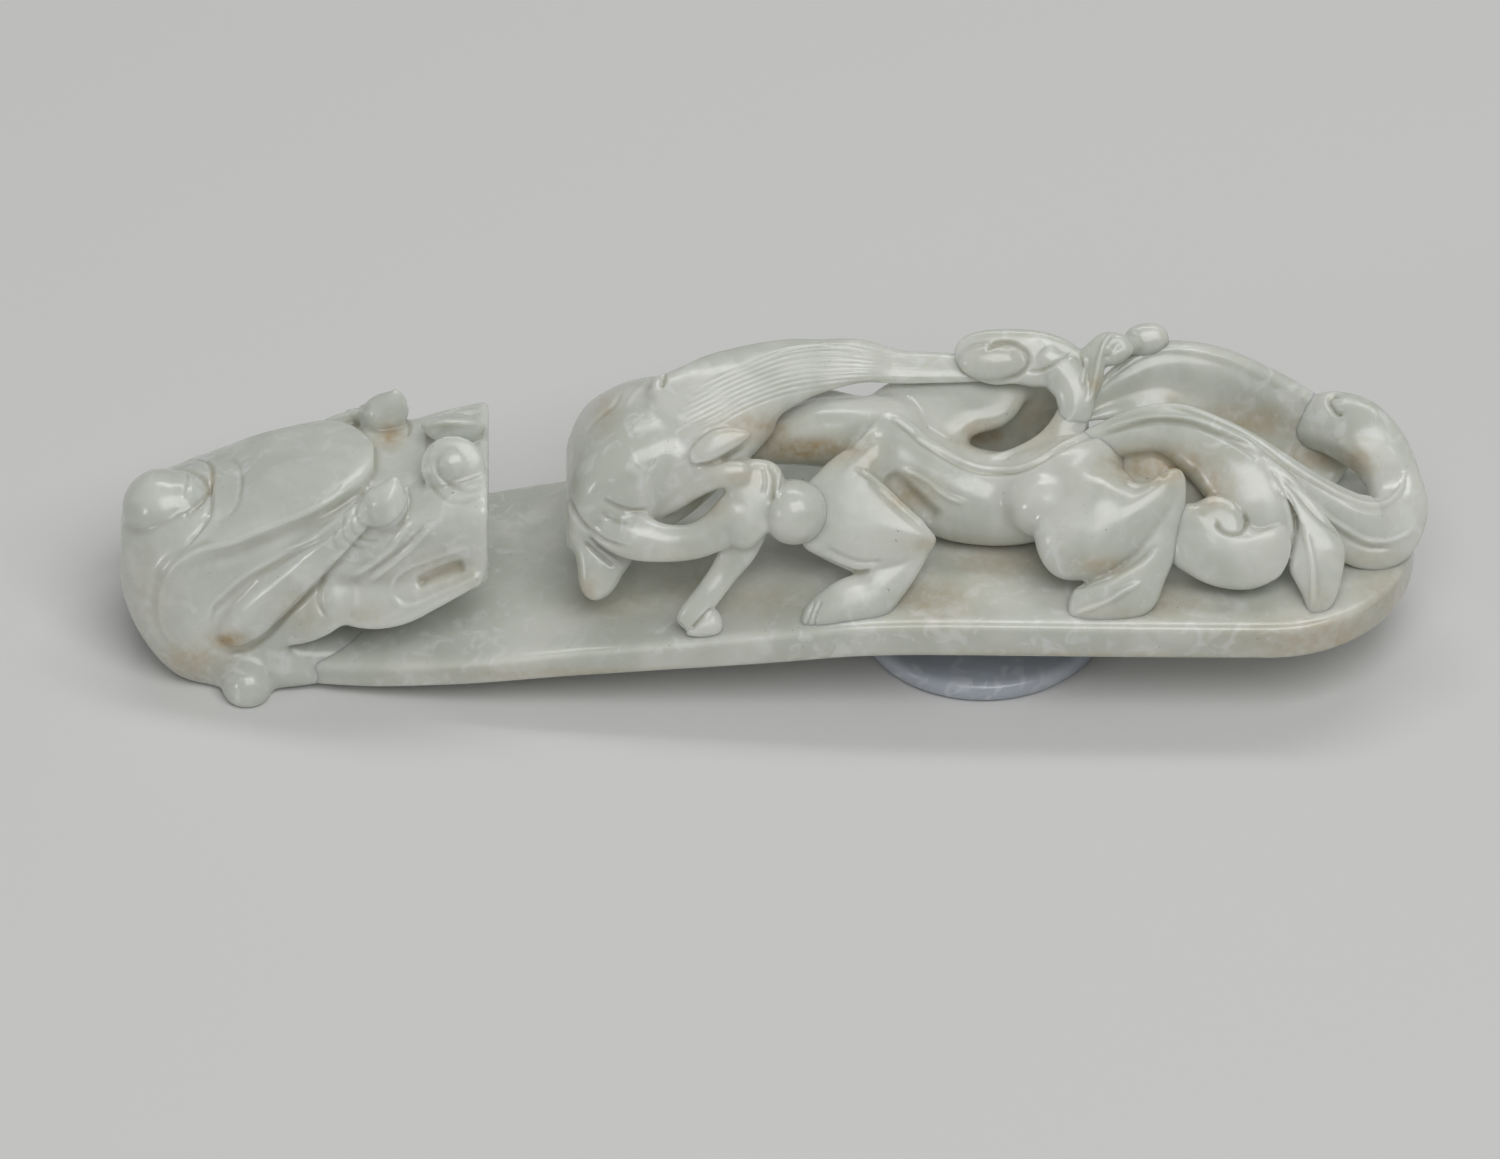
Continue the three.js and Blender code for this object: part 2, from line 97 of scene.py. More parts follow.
# The floor and the light
# A plain pale floor lies under the button and the neck's knobs. A broad softbox high in front lights the
# hook, a long one behind and overhead draws the bright lines along the ridges, and a small one glints from
# the left.
FLOOR_SIZE = 6.0
FLOOR_COLOUR = (0.7, 0.7, 0.69, 1)
FLOOR_ROUGHNESS = 0.9
WORLD_COLOUR = (1, 1, 1, 1)
WORLD_STRENGTH = 0.22
# Softboxes: name, azimuth and elevation in degrees, distance, width and height in metres, power in watts
SOFTBOXES = [
    ("left_box", -58, 18, 0.55, 0.07, 0.11, 0.18),
    ("overhead_box", 168, 66, 0.6, 0.5, 0.1, 0.72),
    ("front_box", 22, 58, 1.0, 0.8, 0.6, 4.9),
]

floor_mesh = bpy.data.meshes.new("floor")
half_floor = FLOOR_SIZE / 2
floor_mesh.from_pydata(
    [(-half_floor, -half_floor, 0), (half_floor, -half_floor, 0), (half_floor, half_floor, 0),
     (-half_floor, half_floor, 0)],
    [], [(0, 1, 2, 3)],
)
floor = bpy.data.objects.new("floor", floor_mesh)
bpy.context.scene.collection.objects.link(floor)
floor_paint = bpy.data.materials.new("pale floor")
floor_paint.use_nodes = True
floor_shader = floor_paint.node_tree.nodes["Principled BSDF"]
floor_shader.inputs["Base Color"].default_value = FLOOR_COLOUR
floor_shader.inputs["Roughness"].default_value = FLOOR_ROUGHNESS
floor_mesh.materials.append(floor_paint)

world = bpy.data.worlds.new("studio")
world.use_nodes = True
sky = world.node_tree.nodes["Background"]
sky.inputs["Color"].default_value = WORLD_COLOUR
sky.inputs["Strength"].default_value = WORLD_STRENGTH
bpy.context.scene.world = world

for name, azimuth, elevation, distance, width, height, power in SOFTBOXES:
    lamp = bpy.data.lights.new(name, "AREA")
    lamp.shape = "RECTANGLE"
    lamp.size = width
    lamp.size_y = height
    lamp.energy = power
    box = bpy.data.objects.new(name, lamp)
    turn = math.radians(azimuth)
    rise = math.radians(elevation)
    box.location = (
        distance * math.sin(turn) * math.cos(rise),
        -distance * math.cos(turn) * math.cos(rise),
        distance * math.sin(rise),
    )
    box.rotation_euler = (math.pi / 2 - rise, 0, turn)
    bpy.context.scene.collection.objects.link(box)

# The tongue
# The long arched plate of pale green jade that all the carving stands on, one stone with it. Its upper
# edges are crisp, its underside is rounded, and its broad end is a half round. Sizes are in millimetres.
LENGTH = (CAD_HIGH.x - CAD_LOW.x) / MM
LEFT_END = CAD_LOW.x / MM
TONGUE_WIDTH = (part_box("tongue")[1].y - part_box("tongue")[0].y) / MM
TONGUE_THICKNESS = 4.9
ARCH_RISE = 6.4
TONGUE_START_SHARE = 0.06
TONGUE_ROUND_SHARE = 0.885
TONGUE_END_SHARE = 0.996
UNDER_RISE_SHARES = [
    [0.09, 0], [0.13, 0], [0.19, 0.08], [0.25, 0.26], [0.32, 0.46], [0.4, 0.63],
    [0.5, 0.82], [0.56, 0.95], [0.6, 0.99], [0.64, 1], [1, 1],
]
THICKNESS_SHARES = [[0.09, 0.85], [0.19, 0.8], [0.27, 0.73], [0.36, 0.78], [0.5, 0.92], [0.6, 1], [1, 1]]
HALF_WIDTH_SHARES = [
    [0.06, 0.4], [0.09, 0.52], [0.13, 0.66], [0.19, 0.77], [0.27, 0.87], [0.36, 0.91], [0.5, 0.95],
    [0.6, 0.97], [0.8, 1], [1, 1],
]
# How square the plate's section is above, along the tongue, and below
EDGE_SQUARENESS_SHARES = [[0.06, 3.2], [0.13, 3.8], [0.18, 5], [0.23, 8], [0.28, 13], [1, 13]]
UNDER_SQUARENESS = 4.2
TONGUE_AROUND = 160
STRAIGHT_RINGS = 220
ROUND_RINGS = 50


def smooth_curve(rows, count, places=3):
    """A smooth curve through rows of numbers, sampled at count places: cubic spans whose knots are spaced by
    the square root of the distance between neighbouring rows, and whose slopes follow both neighbours."""
    rows = np.array(rows, float)
    gaps = np.sqrt(np.linalg.norm(np.diff(rows[:, :places], axis=0), axis=1))
    knots = np.concatenate([[0], np.cumsum(gaps)])
    rises = np.diff(rows, axis=0) / gaps[:, None]
    before = gaps[:-1, None]
    after = gaps[1:, None]
    inner = (rises[1:] * before + rises[:-1] * after) / (before + after)
    slopes = np.concatenate([rises[:1], inner, rises[-1:]])
    at = np.linspace(0, knots[-1], count)
    span = np.clip(np.searchsorted(knots, at, side="right") - 1, 0, len(gaps) - 1)
    size = gaps[span][:, None]
    t = (at - knots[span])[:, None] / size
    low = rows[span] * (2 * t**3 - 3 * t**2 + 1) + slopes[span] * size * (t**3 - 2 * t**2 + t)
    high = rows[span + 1] * (3 * t**2 - 2 * t**3) + slopes[span + 1] * size * (t**3 - t**2)
    return low + high


def smooth_table(rows, samples=400):
    """A function that reads a smooth curve through [place, value] rows at any place."""
    curve = smooth_curve(rows, samples, places=1)
    return lambda place: np.interp(place, curve[:, 0], curve[:, 1])


under_rise = smooth_table(UNDER_RISE_SHARES)
thickness = smooth_table(THICKNESS_SHARES)
half_width = smooth_table(HALF_WIDTH_SHARES)
edge_squareness = smooth_table(EDGE_SQUARENESS_SHARES)


def along_x(share):
    """The place in X of a share of the whole length."""
    return LEFT_END + share * LENGTH


def oval(angle, squareness):
    """A unit oval at the angles: squareness 2 is a circle, and a higher one is nearer to a square."""
    size = (np.abs(np.cos(angle))**squareness + np.abs(np.sin(angle))**squareness)**(-1 / squareness)
    return size * np.cos(angle), size * np.sin(angle)


def ring_angles(around):
    """Evenly spaced angles round a ring."""
    return np.linspace(0, 2 * math.pi, around, endpoint=False)


MERGE_DISTANCE = 0.004
SHORTEST_EDGE = 0.001


def welded(name, grids):
    """One mesh of closed grids, rings by places by three: each ring is closed, the end rings that shrink to
    a place are merged into one point, and the faces point outwards."""
    points = []
    faces = []
    start = 0
    for grid in grids:
        rings, around = grid.shape[:2]
        ring, step = np.meshgrid(np.arange(rings - 1), np.arange(around), indexing="ij")
        following = (step + 1) % around
        quads = np.stack([
            ring * around + step, ring * around + following,
            (ring + 1) * around + following, (ring + 1) * around + step,
        ], axis=-1)
        faces.append(quads.reshape(-1, 4) + start)
        points.append(grid.reshape(-1, 3))
        start += rings * around
    mesh = bpy.data.meshes.new(name)
    mesh.from_pydata(np.concatenate(points), [], np.concatenate(faces).tolist())
    form = bmesh.new()
    form.from_mesh(mesh)
    bmesh.ops.remove_doubles(form, verts=form.verts, dist=MERGE_DISTANCE)
    bmesh.ops.dissolve_degenerate(form, edges=form.edges, dist=SHORTEST_EDGE)
    bmesh.ops.recalc_face_normals(form, faces=form.faces)
    form.to_mesh(mesh)
    form.free()
    return mesh


def points_of(mesh):
    """The mesh's points, one row each."""
    values = np.empty(len(mesh.vertices) * 3)
    mesh.vertices.foreach_get("co", values)
    return values.reshape(-1, 3)


def set_points(mesh, points):
    """Moves the mesh's points to these places."""
    mesh.vertices.foreach_set("co", points.ravel())
    mesh.update()


def normals_of(mesh):
    """The outward direction at each of the mesh's points."""
    values = np.empty(len(mesh.vertices) * 3)
    mesh.vertex_normals.foreach_get("vector", values)
    return values.reshape(-1, 3)


def relaxed(mesh, points, rounds):
    """The points after each has moved half way to the mean of its neighbours, that many rounds."""
    ends = np.empty(len(mesh.edges) * 2, int)
    mesh.edges.foreach_get("vertices", ends)
    first, second = ends.reshape(-1, 2).T
    count = len(points)
    neighbours = np.bincount(first, minlength=count) + np.bincount(second, minlength=count)
    for _ in range(rounds):
        mean = np.stack([
            np.bincount(first, points[second, axis], count) + np.bincount(second, points[first, axis], count)
            for axis in range(3)
        ], axis=1) / neighbours[:, None]
        points = (points + mean) / 2
    return points


HOLLOW_ROUNDS = 40
HOLLOW_DEPTH = 0.5


def hollowness(mesh):
    """How deep each point lies in a groove or corner, from 0 to 1: how far the surface, smoothed over a wide
    area, stands out above it."""
    points = points_of(mesh)
    lift = ((relaxed(mesh, points, HOLLOW_ROUNDS) - points) * normals_of(mesh)).sum(axis=1)
    return np.clip(lift / HOLLOW_DEPTH, 0, 1)


# How far the stains and painted shade reach onto surfaces turned from the camera
STAIN_AND_SHADE_WRAP = 0.6


def stain_and_shade_on(mesh, stains_and_shade):
    """How strongly each point is stained or given painted shade and shadow, from 0 to 1: soft spots given by
    pixel place, radii and strength, on what faces the camera there."""
    pixels = in_photo(points_of(mesh))
    facing = np.clip(normals_of(mesh) @ TO_CAMERA + STAIN_AND_SHADE_WRAP, 0, 1)
    amount = np.zeros(len(pixels))
    for across, down, wide, high, strength in stains_and_shade:
        apart = ((pixels[:, 0] - across) / wide)**2 + ((pixels[:, 1] - down) / high)**2
        amount = np.maximum(amount, strength * np.exp(-apart) * facing)
    return amount


def piece(name, mesh, material, nodes, stains_and_shade=()):
    """Puts a finished mesh in millimetres into the scene in metres, standing for its CAD nodes."""
    # The hollow mask carries real brown and painted shade; the spots carry stains, painted shade and painted
    # shadow
    for label, values in (("hollow", hollowness(mesh)), ("stain_and_shade", stain_and_shade_on(mesh, stains_and_shade))):
        attribute = mesh.attributes.new(label, "FLOAT", "POINT")
        attribute.data.foreach_set("value", values)
    set_points(mesh, points_of(mesh) * MM)
    mesh.shade_smooth()
    mesh.materials.append(material)
    item = bpy.data.objects.new(name, mesh)
    bpy.context.scene.collection.objects.link(item)
    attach(item, "root")
    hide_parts(*nodes)


# Patterns in the stone: the noise's size in millimetres, its detail and distortion, then the range of it that
# is read and the range that this becomes, which for the gloss is its roughness
CLOUDS = (9, 5, 0.8, 0.38, 0.62, 0, 1)
WISPS = (2.2, 5, 1.2, 0.5, 0.66, 0, 1)
WISP_PATCHES = (14, 3, 0, 0.4, 0.6, 0.25, 1)
GRAIN = (0.9, 5, 0, 0.3, 0.7, 0.45, 1)
SPECKS = (0.35, 2, 0, 0.72, 0.76, 0, 1)
SPECK_PATCHES = (6, 2, 0, 0.5, 0.62, 0, 1)
GLOSS = (2.4, 4, 0, 0.3, 0.7, 0.16, 0.27)
WAVES = (1.3, 3, 0)
WAVE_HEIGHT = 0.12
WAVE_STRENGTH = 0.12
# How strongly the hollows take their brown and painted shade
HOLLOW_BROWN_AND_SHADE_STRENGTH = 0.8
SPECK_STRENGTH = 0.7
REFRACTIVE_INDEX = 1.61
GLOW_SHARE = 0.85
GLOW_DEPTH = 1.5
GLOW_BY_COLOUR = (1.0, 0.95, 0.82)
WISP_COLOUR = (0.76, 0.77, 0.76)
HOLLOW_BROWN_AND_SHADE_COLOUR = (0.36, 0.31, 0.19)
# Brown for real stains and for painted shade and shadow in recesses and under the carving
STAIN_AND_SHADE_COLOUR = (0.42, 0.3, 0.15)
SPECK_COLOUR = (0.05, 0.05, 0.04)


def jade(name, pale, deep, cloud_strength, wisp_strength):
    """Polished nephrite: a pale and a deeper tone in slow clouds, whiter wisps, tiny dark specks, brown and
    painted shade in the hollows and in stained spots, a faint waviness of the polish, and light that sinks a
    little way in."""
    material = bpy.data.materials.new(name)
    material.use_nodes = True
    tree = material.node_tree
    tree.nodes.clear()

    def add(kind, **settings):
        made = tree.nodes.new(kind)
        for key, value in settings.items():
            setattr(made, key, value)
        return made

    def noise(size_mm, detail, distortion):
        made = add("ShaderNodeTexNoise")
        made.inputs["Scale"].default_value = 1 / (size_mm * MM)
        made.inputs["Detail"].default_value = detail
        made.inputs["Distortion"].default_value = distortion
        tree.links.new(coordinates.outputs["Object"], made.inputs["Vector"])
        return made.outputs["Fac"]

    def pattern(size_mm, detail, distortion, *limits):
        made = add("ShaderNodeMapRange")
        made.interpolation_type = "SMOOTHSTEP"
        tree.links.new(noise(size_mm, detail, distortion), made.inputs["Value"])
        for label, limit in zip(("From Min", "From Max", "To Min", "To Max"), limits):
            made.inputs[label].default_value = limit
        return made.outputs["Result"]

    def times(first, second):
        made = add("ShaderNodeMath", operation="MULTIPLY")
        for socket, value in zip(made.inputs, (first, second)):
            if isinstance(value, (int, float)):
                socket.default_value = value
            else:
                tree.links.new(value, socket)
        return made.outputs["Value"]

    def mixed(amount, under, over):
        made = add("ShaderNodeMix", data_type="RGBA")
        tree.links.new(amount, made.inputs["Factor"])
        for label, value in (("A", under), ("B", over)):
            socket = next(s for s in made.inputs if s.name == label and s.type == "RGBA")
            if isinstance(value, tuple):
                socket.default_value = (*value, 1)
            else:
                tree.links.new(value, socket)
        return next(s for s in made.outputs if s.type == "RGBA")

    def attribute(label):
        return add("ShaderNodeAttribute", attribute_name=label).outputs["Fac"]

    coordinates = add("ShaderNodeTexCoord")
    colour = mixed(times(pattern(*CLOUDS), cloud_strength), pale, deep)
    wisps = times(pattern(*WISPS), pattern(*WISP_PATCHES))
    colour = mixed(times(wisps, wisp_strength), colour, WISP_COLOUR)
    # Real brown with painted shade in grooves and corners, darker the deeper the hollow
    colour = mixed(times(attribute("hollow"), HOLLOW_BROWN_AND_SHADE_STRENGTH), colour, HOLLOW_BROWN_AND_SHADE_COLOUR)
    # Stains with painted shade and shadow, broken by the grain
    colour = mixed(times(attribute("stain_and_shade"), pattern(*GRAIN)), colour, STAIN_AND_SHADE_COLOUR)
    specks = times(pattern(*SPECKS), pattern(*SPECK_PATCHES))
    colour = mixed(times(specks, SPECK_STRENGTH), colour, SPECK_COLOUR)

    shader = add("ShaderNodeBsdfPrincipled")
    tree.links.new(colour, shader.inputs["Base Color"])
    tree.links.new(pattern(*GLOSS), shader.inputs["Roughness"])
    shader.inputs["IOR"].default_value = REFRACTIVE_INDEX
    shader.inputs["Subsurface Weight"].default_value = GLOW_SHARE
    shader.inputs["Subsurface Radius"].default_value = GLOW_BY_COLOUR
    shader.inputs["Subsurface Scale"].default_value = GLOW_DEPTH * MM
    bump = add("ShaderNodeBump")
    bump.inputs["Strength"].default_value = WAVE_STRENGTH
    bump.inputs["Distance"].default_value = WAVE_HEIGHT * MM
    tree.links.new(noise(*WAVES), bump.inputs["Height"])
    tree.links.new(bump.outputs["Normal"], shader.inputs["Normal"])
    output = add("ShaderNodeOutputMaterial")
    tree.links.new(shader.outputs["BSDF"], output.inputs["Surface"])
    return material


CELADON_PALE = (0.66, 0.675, 0.62)
CELADON_DEEP = (0.5, 0.53, 0.465)
celadon = jade("celadon jade", CELADON_PALE, CELADON_DEEP, cloud_strength=0.6, wisp_strength=0.6)

tongue_straight = np.linspace(TONGUE_START_SHARE, TONGUE_ROUND_SHARE, STRAIGHT_RINGS)
tongue_angle = ring_angles(TONGUE_AROUND)


def tongue_rings(share, turn):
    """Upright sections of the plate: ovals, squarer above than below. Past the straight part they swing
    about the upright axis of the half round, so its rim has the sides' profile."""
    over_y, over_z = oval(tongue_angle[None, :], edge_squareness(share)[:, None])
    under_y, under_z = oval(tongue_angle, UNDER_SQUARENESS)
    above = np.sin(tongue_angle) >= 0
    out = np.where(above, over_y, under_y)
    up = np.where(above, over_z, under_z)
    depth = TONGUE_THICKNESS * thickness(share)[:, None]
    wide = TONGUE_WIDTH / 2 * half_width(share)[:, None]
    reach = (TONGUE_END_SHARE - TONGUE_ROUND_SHARE) * LENGTH
    return np.stack([
        along_x(share)[:, None] + reach * np.sin(turn)[:, None] * np.abs(out),
        wide * np.cos(turn)[:, None] * out,
        ARCH_RISE * under_rise(share)[:, None] + depth / 2 * (1 + up),
    ], axis=-1)


straight_rings = tongue_rings(tongue_straight, np.zeros(len(tongue_straight)))
swing = np.linspace(0, math.pi / 2, ROUND_RINGS)[1:]
round_rings = tongue_rings(np.full(len(swing), TONGUE_ROUND_SHARE), swing)
start_ring = straight_rings[:1].mean(axis=1, keepdims=True).repeat(TONGUE_AROUND, axis=1)
tongue_mesh = welded("tongue_plate", [np.concatenate([start_ring, straight_rings, round_rings])])
# Stains and painted shade: the pixel place, the half width and height in pixels, and the strength
# Mostly painted shadow under the carving and painted shade along the tongue's lower side, with some brown
TONGUE_STAINS_AND_SHADE = [
    (1340, 645, 110, 34, 0.55), (1150, 600, 60, 22, 0.4), (930, 600, 50, 25, 0.5),
    (620, 600, 50, 20, 0.3), (1060, 664, 220, 12, 0.6), (700, 590, 60, 26, 0.3), (1000, 560, 60, 24, 0.4),
    (1390, 600, 40, 40, 0.4), (600, 674, 160, 8, 0.4), (760, 600, 60, 20, 0.3),
]
piece("tongue_plate", tongue_mesh, celadon, ["tongue"], TONGUE_STAINS_AND_SHADE)

# The button and its stem
# A round stud of bluish jade under the tongue, one stone with it, which goes through the belt. Its foot is
# flat, its rim is rounded, and the stem widens where it grows out of the tongue and into the disc.
BUTTON_RADIUS = (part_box("button")[1].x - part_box("button")[0].x) / 2 / MM
BUTTON_X = (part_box("button")[1].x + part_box("button")[0].x) / 2 / MM
BUTTON_THICKNESS = (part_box("button")[1].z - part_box("button")[0].z) / MM
DISC_TOP = 2.03
STEM_RADIUS = 5.5
# The stem from the disc to the tongue: how far it stands out past its radius, and its height
STEM_FLARE_ROWS = [[1.6, 2.15], [0.3, 2.8], [0, 4.2], [0.2, 6], [1.2, 7.2]]
STEM_TOP = STEM_FLARE_ROWS[-1][1]
RIM_SQUARENESS = 2.4
RIM_RINGS = 40
STEM_RINGS = 40
BUTTON_AROUND = 160
BLUISH_PALE = (0.48, 0.51, 0.57)
BLUISH_DEEP = (0.38, 0.41, 0.47)


def turned(profile, centre_x, around):
    """A turned form: a profile of [radius, height] rows swung round an upright axis."""
    angle = ring_angles(around)
    radius = profile[:, :1]
    return np.stack([
        centre_x + radius * np.cos(angle), radius * np.sin(angle),
        profile[:, 1:].repeat(around, axis=1),
    ], axis=-1)


rim_turn = np.linspace(-math.pi / 2, math.pi / 2, RIM_RINGS)
rim_out, rim_up = oval(rim_turn, RIM_SQUARENESS)
rim = np.stack([
    BUTTON_RADIUS - BUTTON_THICKNESS / 2 * (1 - rim_out), BUTTON_THICKNESS / 2 * (1 + rim_up),
], axis=1)
stem = smooth_curve([
    [BUTTON_RADIUS - BUTTON_THICKNESS, DISC_TOP],
    *[[STEM_RADIUS + flare, height] for flare, height in STEM_FLARE_ROWS],
], STEM_RINGS, places=2)
profile = np.concatenate([[[0, 0]], rim, stem, [[0, STEM_TOP]]])
button_mesh = welded("belt_button", [turned(profile, BUTTON_X, BUTTON_AROUND)])
bluish_white = jade("bluish white jade", BLUISH_PALE, BLUISH_DEEP, cloud_strength=0.5, wisp_strength=0.35)
piece("belt_button", button_mesh, bluish_white, ["button", "button_stem"])

# The dragon head
# The hook itself: a thick neck that turns back over the tongue and ends in a flat-nosed dragon head, in a
# slightly lighter copy of the celadon that paints the brighter light on it. The crown plate, the rolled nape,
# the club horns, the eyes, the nostrils and the jaws are cut in the round.
HOOK_LENGTH = 34
HOOK_WIDTH = 17.2
HOOK_HEIGHT = 19.5
RIGHT = np.array([1.0, 0, 0])


def on_hook(along, across, up):
    """Places on the dragon head: shares of its length, of its half width and of its height."""
    return np.stack([
        LEFT_END + along * HOOK_LENGTH, across * HOOK_WIDTH / 2, up * HOOK_HEIGHT,
    ], axis=-1)


def unit(vectors):
    """The vectors at length one."""
    return vectors / np.linalg.norm(vectors, axis=-1, keepdims=True)


def seen_at(across, down, depth):
    """Places that the camera sees at pixels, that many millimetres to the far side of the middle plane."""
    return np.stack([
        (across - ORIGIN_PIXEL[0]) / PIXELS_PER_MM, depth * np.ones_like(across),
        ((ORIGIN_PIXEL[1] - down) / PIXELS_PER_MM - depth * math.sin(ELEVATION)) / math.cos(ELEVATION),
    ], axis=-1)


# Rings in a limb's rounded end, and how steeply lines and strokes fade out at their ends
END_RINGS = 14
END_FADE = 8


def limb(path, face, flatness=1.0, squareness=2.0, crest=0.0, facet=0.0, lines=(), around=64):
    """A carved limb: an oval section carried along a path of [x, y, z, half width] rows in millimetres, and
    shrunk by a quarter circle beyond both ends. Its face half turns from an oval to two planes that meet in
    a ridge at the crest as the facet goes to 1. Each line is its place across, its half width there and its
    height in millimetres. It runs along the face and fades out over the last eighth at both ends."""
    tangent = unit(np.gradient(path[:, :3], axis=0))
    turn = np.linspace(0, math.pi / 2, END_RINGS)[1:]
    centre = np.concatenate([
        path[0, :3] - tangent[0] * path[0, 3] * flatness * np.sin(turn[::-1, None]), path[:, :3],
        path[-1, :3] + tangent[-1] * path[-1, 3] * flatness * np.sin(turn[:, None]),
    ])
    heading = np.concatenate([
        tangent[:1].repeat(len(turn), axis=0), tangent, tangent[-1:].repeat(len(turn), axis=0),
    ])
    size = np.concatenate([path[0, 3] * np.cos(turn[::-1]), path[:, 3], path[-1, 3] * np.cos(turn)])
    side = unit(np.cross(heading, face))
    outward = unit(np.cross(side, heading))
    across, up = oval(ring_angles(around), squareness)
    tent = 1 - np.abs(across - crest) / np.where(across > crest, 1 - crest, 1 + crest)
    up = np.where(up > 0, (1 - facet) * up + facet * tent, up)
    share = np.linspace(0, END_FADE, len(centre))
    fade = np.clip(share, 0, 1) * np.clip(END_FADE - share, 0, 1)
    raised = sum(
        height * np.clip(1 - ((across - at) / half)**2, 0, 1)**2 * (up > 0) for at, half, height in lines
    )
    return (
        centre[:, None] + side[:, None] * (size[:, None] * across)[..., None]
        + outward[:, None] * (size[:, None] * flatness * up + fade[:, None] * raised)[..., None]
    )


def seen_limb(rows, face=TO_CAMERA, along=90, **section):
    """A limb that the camera sees through [across pixel, down pixel, depth, half width in pixels] rows."""
    rows = np.array(rows, float)
    path = np.column_stack([seen_at(*rows[:, :3].T), rows[:, 3] / PIXELS_PER_MM])
    return limb(smooth_curve(path, along), face, **section)


def seen_egg(across, down, depth, wide, high, thick, around=48):
    """An egg that the camera sees at a pixel. Its half sizes across the picture, up it and towards the
    camera are in pixels."""
    polar = np.linspace(0, math.pi, around // 2)[:, None, None]
    angle = ring_angles(around)[:, None]
    centre = seen_at(np.array(across, float), np.array(down, float), depth)
    return centre + (
        RIGHT * (wide * np.sin(polar) * np.cos(angle)) + PICTURE_UP * (high * np.sin(polar) * np.sin(angle))
        + TO_CAMERA * (thick * np.cos(polar) * np.ones_like(angle))
    ) / PIXELS_PER_MM


SWELL_RINGS = 26


def cut_form(outline, centre, depth, front, back, roundness=2.5, face=TO_CAMERA, around=160):
    """A flat carved form: a closed outline of pixels seen on a plane through its centre and square to its
    face, swelling by the front and back millimetres as (1 - share^roundness)^(1 / roundness) towards the
    centre."""
    outline = np.array(outline, float)
    closed = smooth_curve(np.concatenate([outline[-2:], outline, outline[:2]]), 4 * around, places=2)
    length = np.concatenate([[0], np.cumsum(np.linalg.norm(np.diff(closed, axis=0), axis=1))])
    from_start = np.linalg.norm(closed - outline[0], axis=1)
    half = len(closed) // 2
    first = from_start[:half].argmin()
    last = half + from_start[half:].argmin()
    at = np.linspace(length[first], length[last], around, endpoint=False)
    rim = np.stack([np.interp(at, length, closed[:, axis]) for axis in range(2)], axis=1)
    middle = seen_at(np.array(centre[0], float), np.array(centre[1], float), depth)
    step = (rim - np.array(centre)) / PIXELS_PER_MM
    spread = step[:, :1] * RIGHT - step[:, 1:] * PICTURE_UP
    spread = spread - TO_CAMERA * (spread @ face / (TO_CAMERA @ face))[:, None]
    share = np.sin(np.linspace(0, math.pi / 2, SWELL_RINGS))[:, None]
    swell = (1 - share**roundness)**(1 / roundness)
    share = np.concatenate([share, share[-2::-1]])
    offset = np.concatenate([front * swell, -back * swell[-2::-1]])
    return middle + share[..., None] * spread + offset[..., None] * face


def lofted(rows, place, half_width, half_depth, along=120, around=120):
    """A block of upright ovals, square to X, through [along, across, up, width, depth, squareness, taper]
    rows. The taper narrows each one upwards. Flat caps close it."""
    rows = np.array(rows, float)
    path = smooth_curve(np.column_stack([place(*rows[:, :3].T), rows[:, 3:]]), along)
    across, up = oval(ring_angles(around), path[:, 5:6])
    wide = path[:, 3:4] * half_width * across * (1 - path[:, 6:7] * up)
    high = path[:, 4:5] * half_depth * up
    rings = np.stack([
        path[:, :1].repeat(around, axis=1), path[:, 1:2] + wide, path[:, 2:3] + high,
    ], axis=-1)
    ends = path[[0, -1], None, :3].repeat(around, axis=1)
    return np.concatenate([ends[:1], rings, ends[1:]])


def fused(mesh, voxel, rounds):
    """One skin round the mesh's overlapping closed forms, as if cut from one block, its creases eased by
    that many rounds of relaxing."""
    block = bpy.data.objects.new("block", mesh)
    bpy.context.scene.collection.objects.link(block)
    skin = block.modifiers.new("skin", "REMESH")
    skin.mode = "VOXEL"
    skin.voxel_size = voxel
    evaluated = block.evaluated_get(bpy.context.evaluated_depsgraph_get())
    whole = bpy.data.meshes.new_from_object(evaluated)
    bpy.data.objects.remove(block)
    points = relaxed(whole, points_of(whole), rounds)
    points[:, 2] = np.maximum(points[:, 2], 0)
    set_points(whole, points)
    return whole


def joined(name, meshes):
    """One mesh that holds all the meshes as they are."""
    form = bmesh.new()
    for mesh in meshes:
        form.from_mesh(mesh)
    whole = bpy.data.meshes.new(name)
    form.to_mesh(whole)
    form.free()
    return whole


def layered(name, voxel, easing, *layers):
    """One skin grown in layers of grids, with its rounds of easing for each: the heavy masses first, eased
    the most so that they flow into one another, then the crisper forms that are set into them."""
    mesh = bpy.data.meshes.new(name)
    for grids, rounds in zip(layers, easing):
        mesh = fused(joined(name, [mesh, welded(name, grids)]), voxel, rounds)
    return mesh


# What counts as seen: squares of so many pixels, and millimetres behind the nearest point in each
FRONT_CELL = 6
FRONT_DEPTH = 3.0
FACING_START = 0.02
FACING_RANGE = 0.2
LINE_STEPS = 8
END_STRENGTH = 0.15


def frontmost(pixels, depth):
    """Which points lie within a few millimetres of the nearest one in their small square of the picture."""
    cell = np.floor(pixels / FRONT_CELL).astype(int)
    cell -= cell.min(axis=0)
    key = cell[:, 0] * (cell[:, 1].max() + 1) + cell[:, 1]
    nearest = np.full(key.max() + 1, -np.inf)
    np.maximum.at(nearest, key, depth)
    return depth > nearest[key] - FRONT_DEPTH


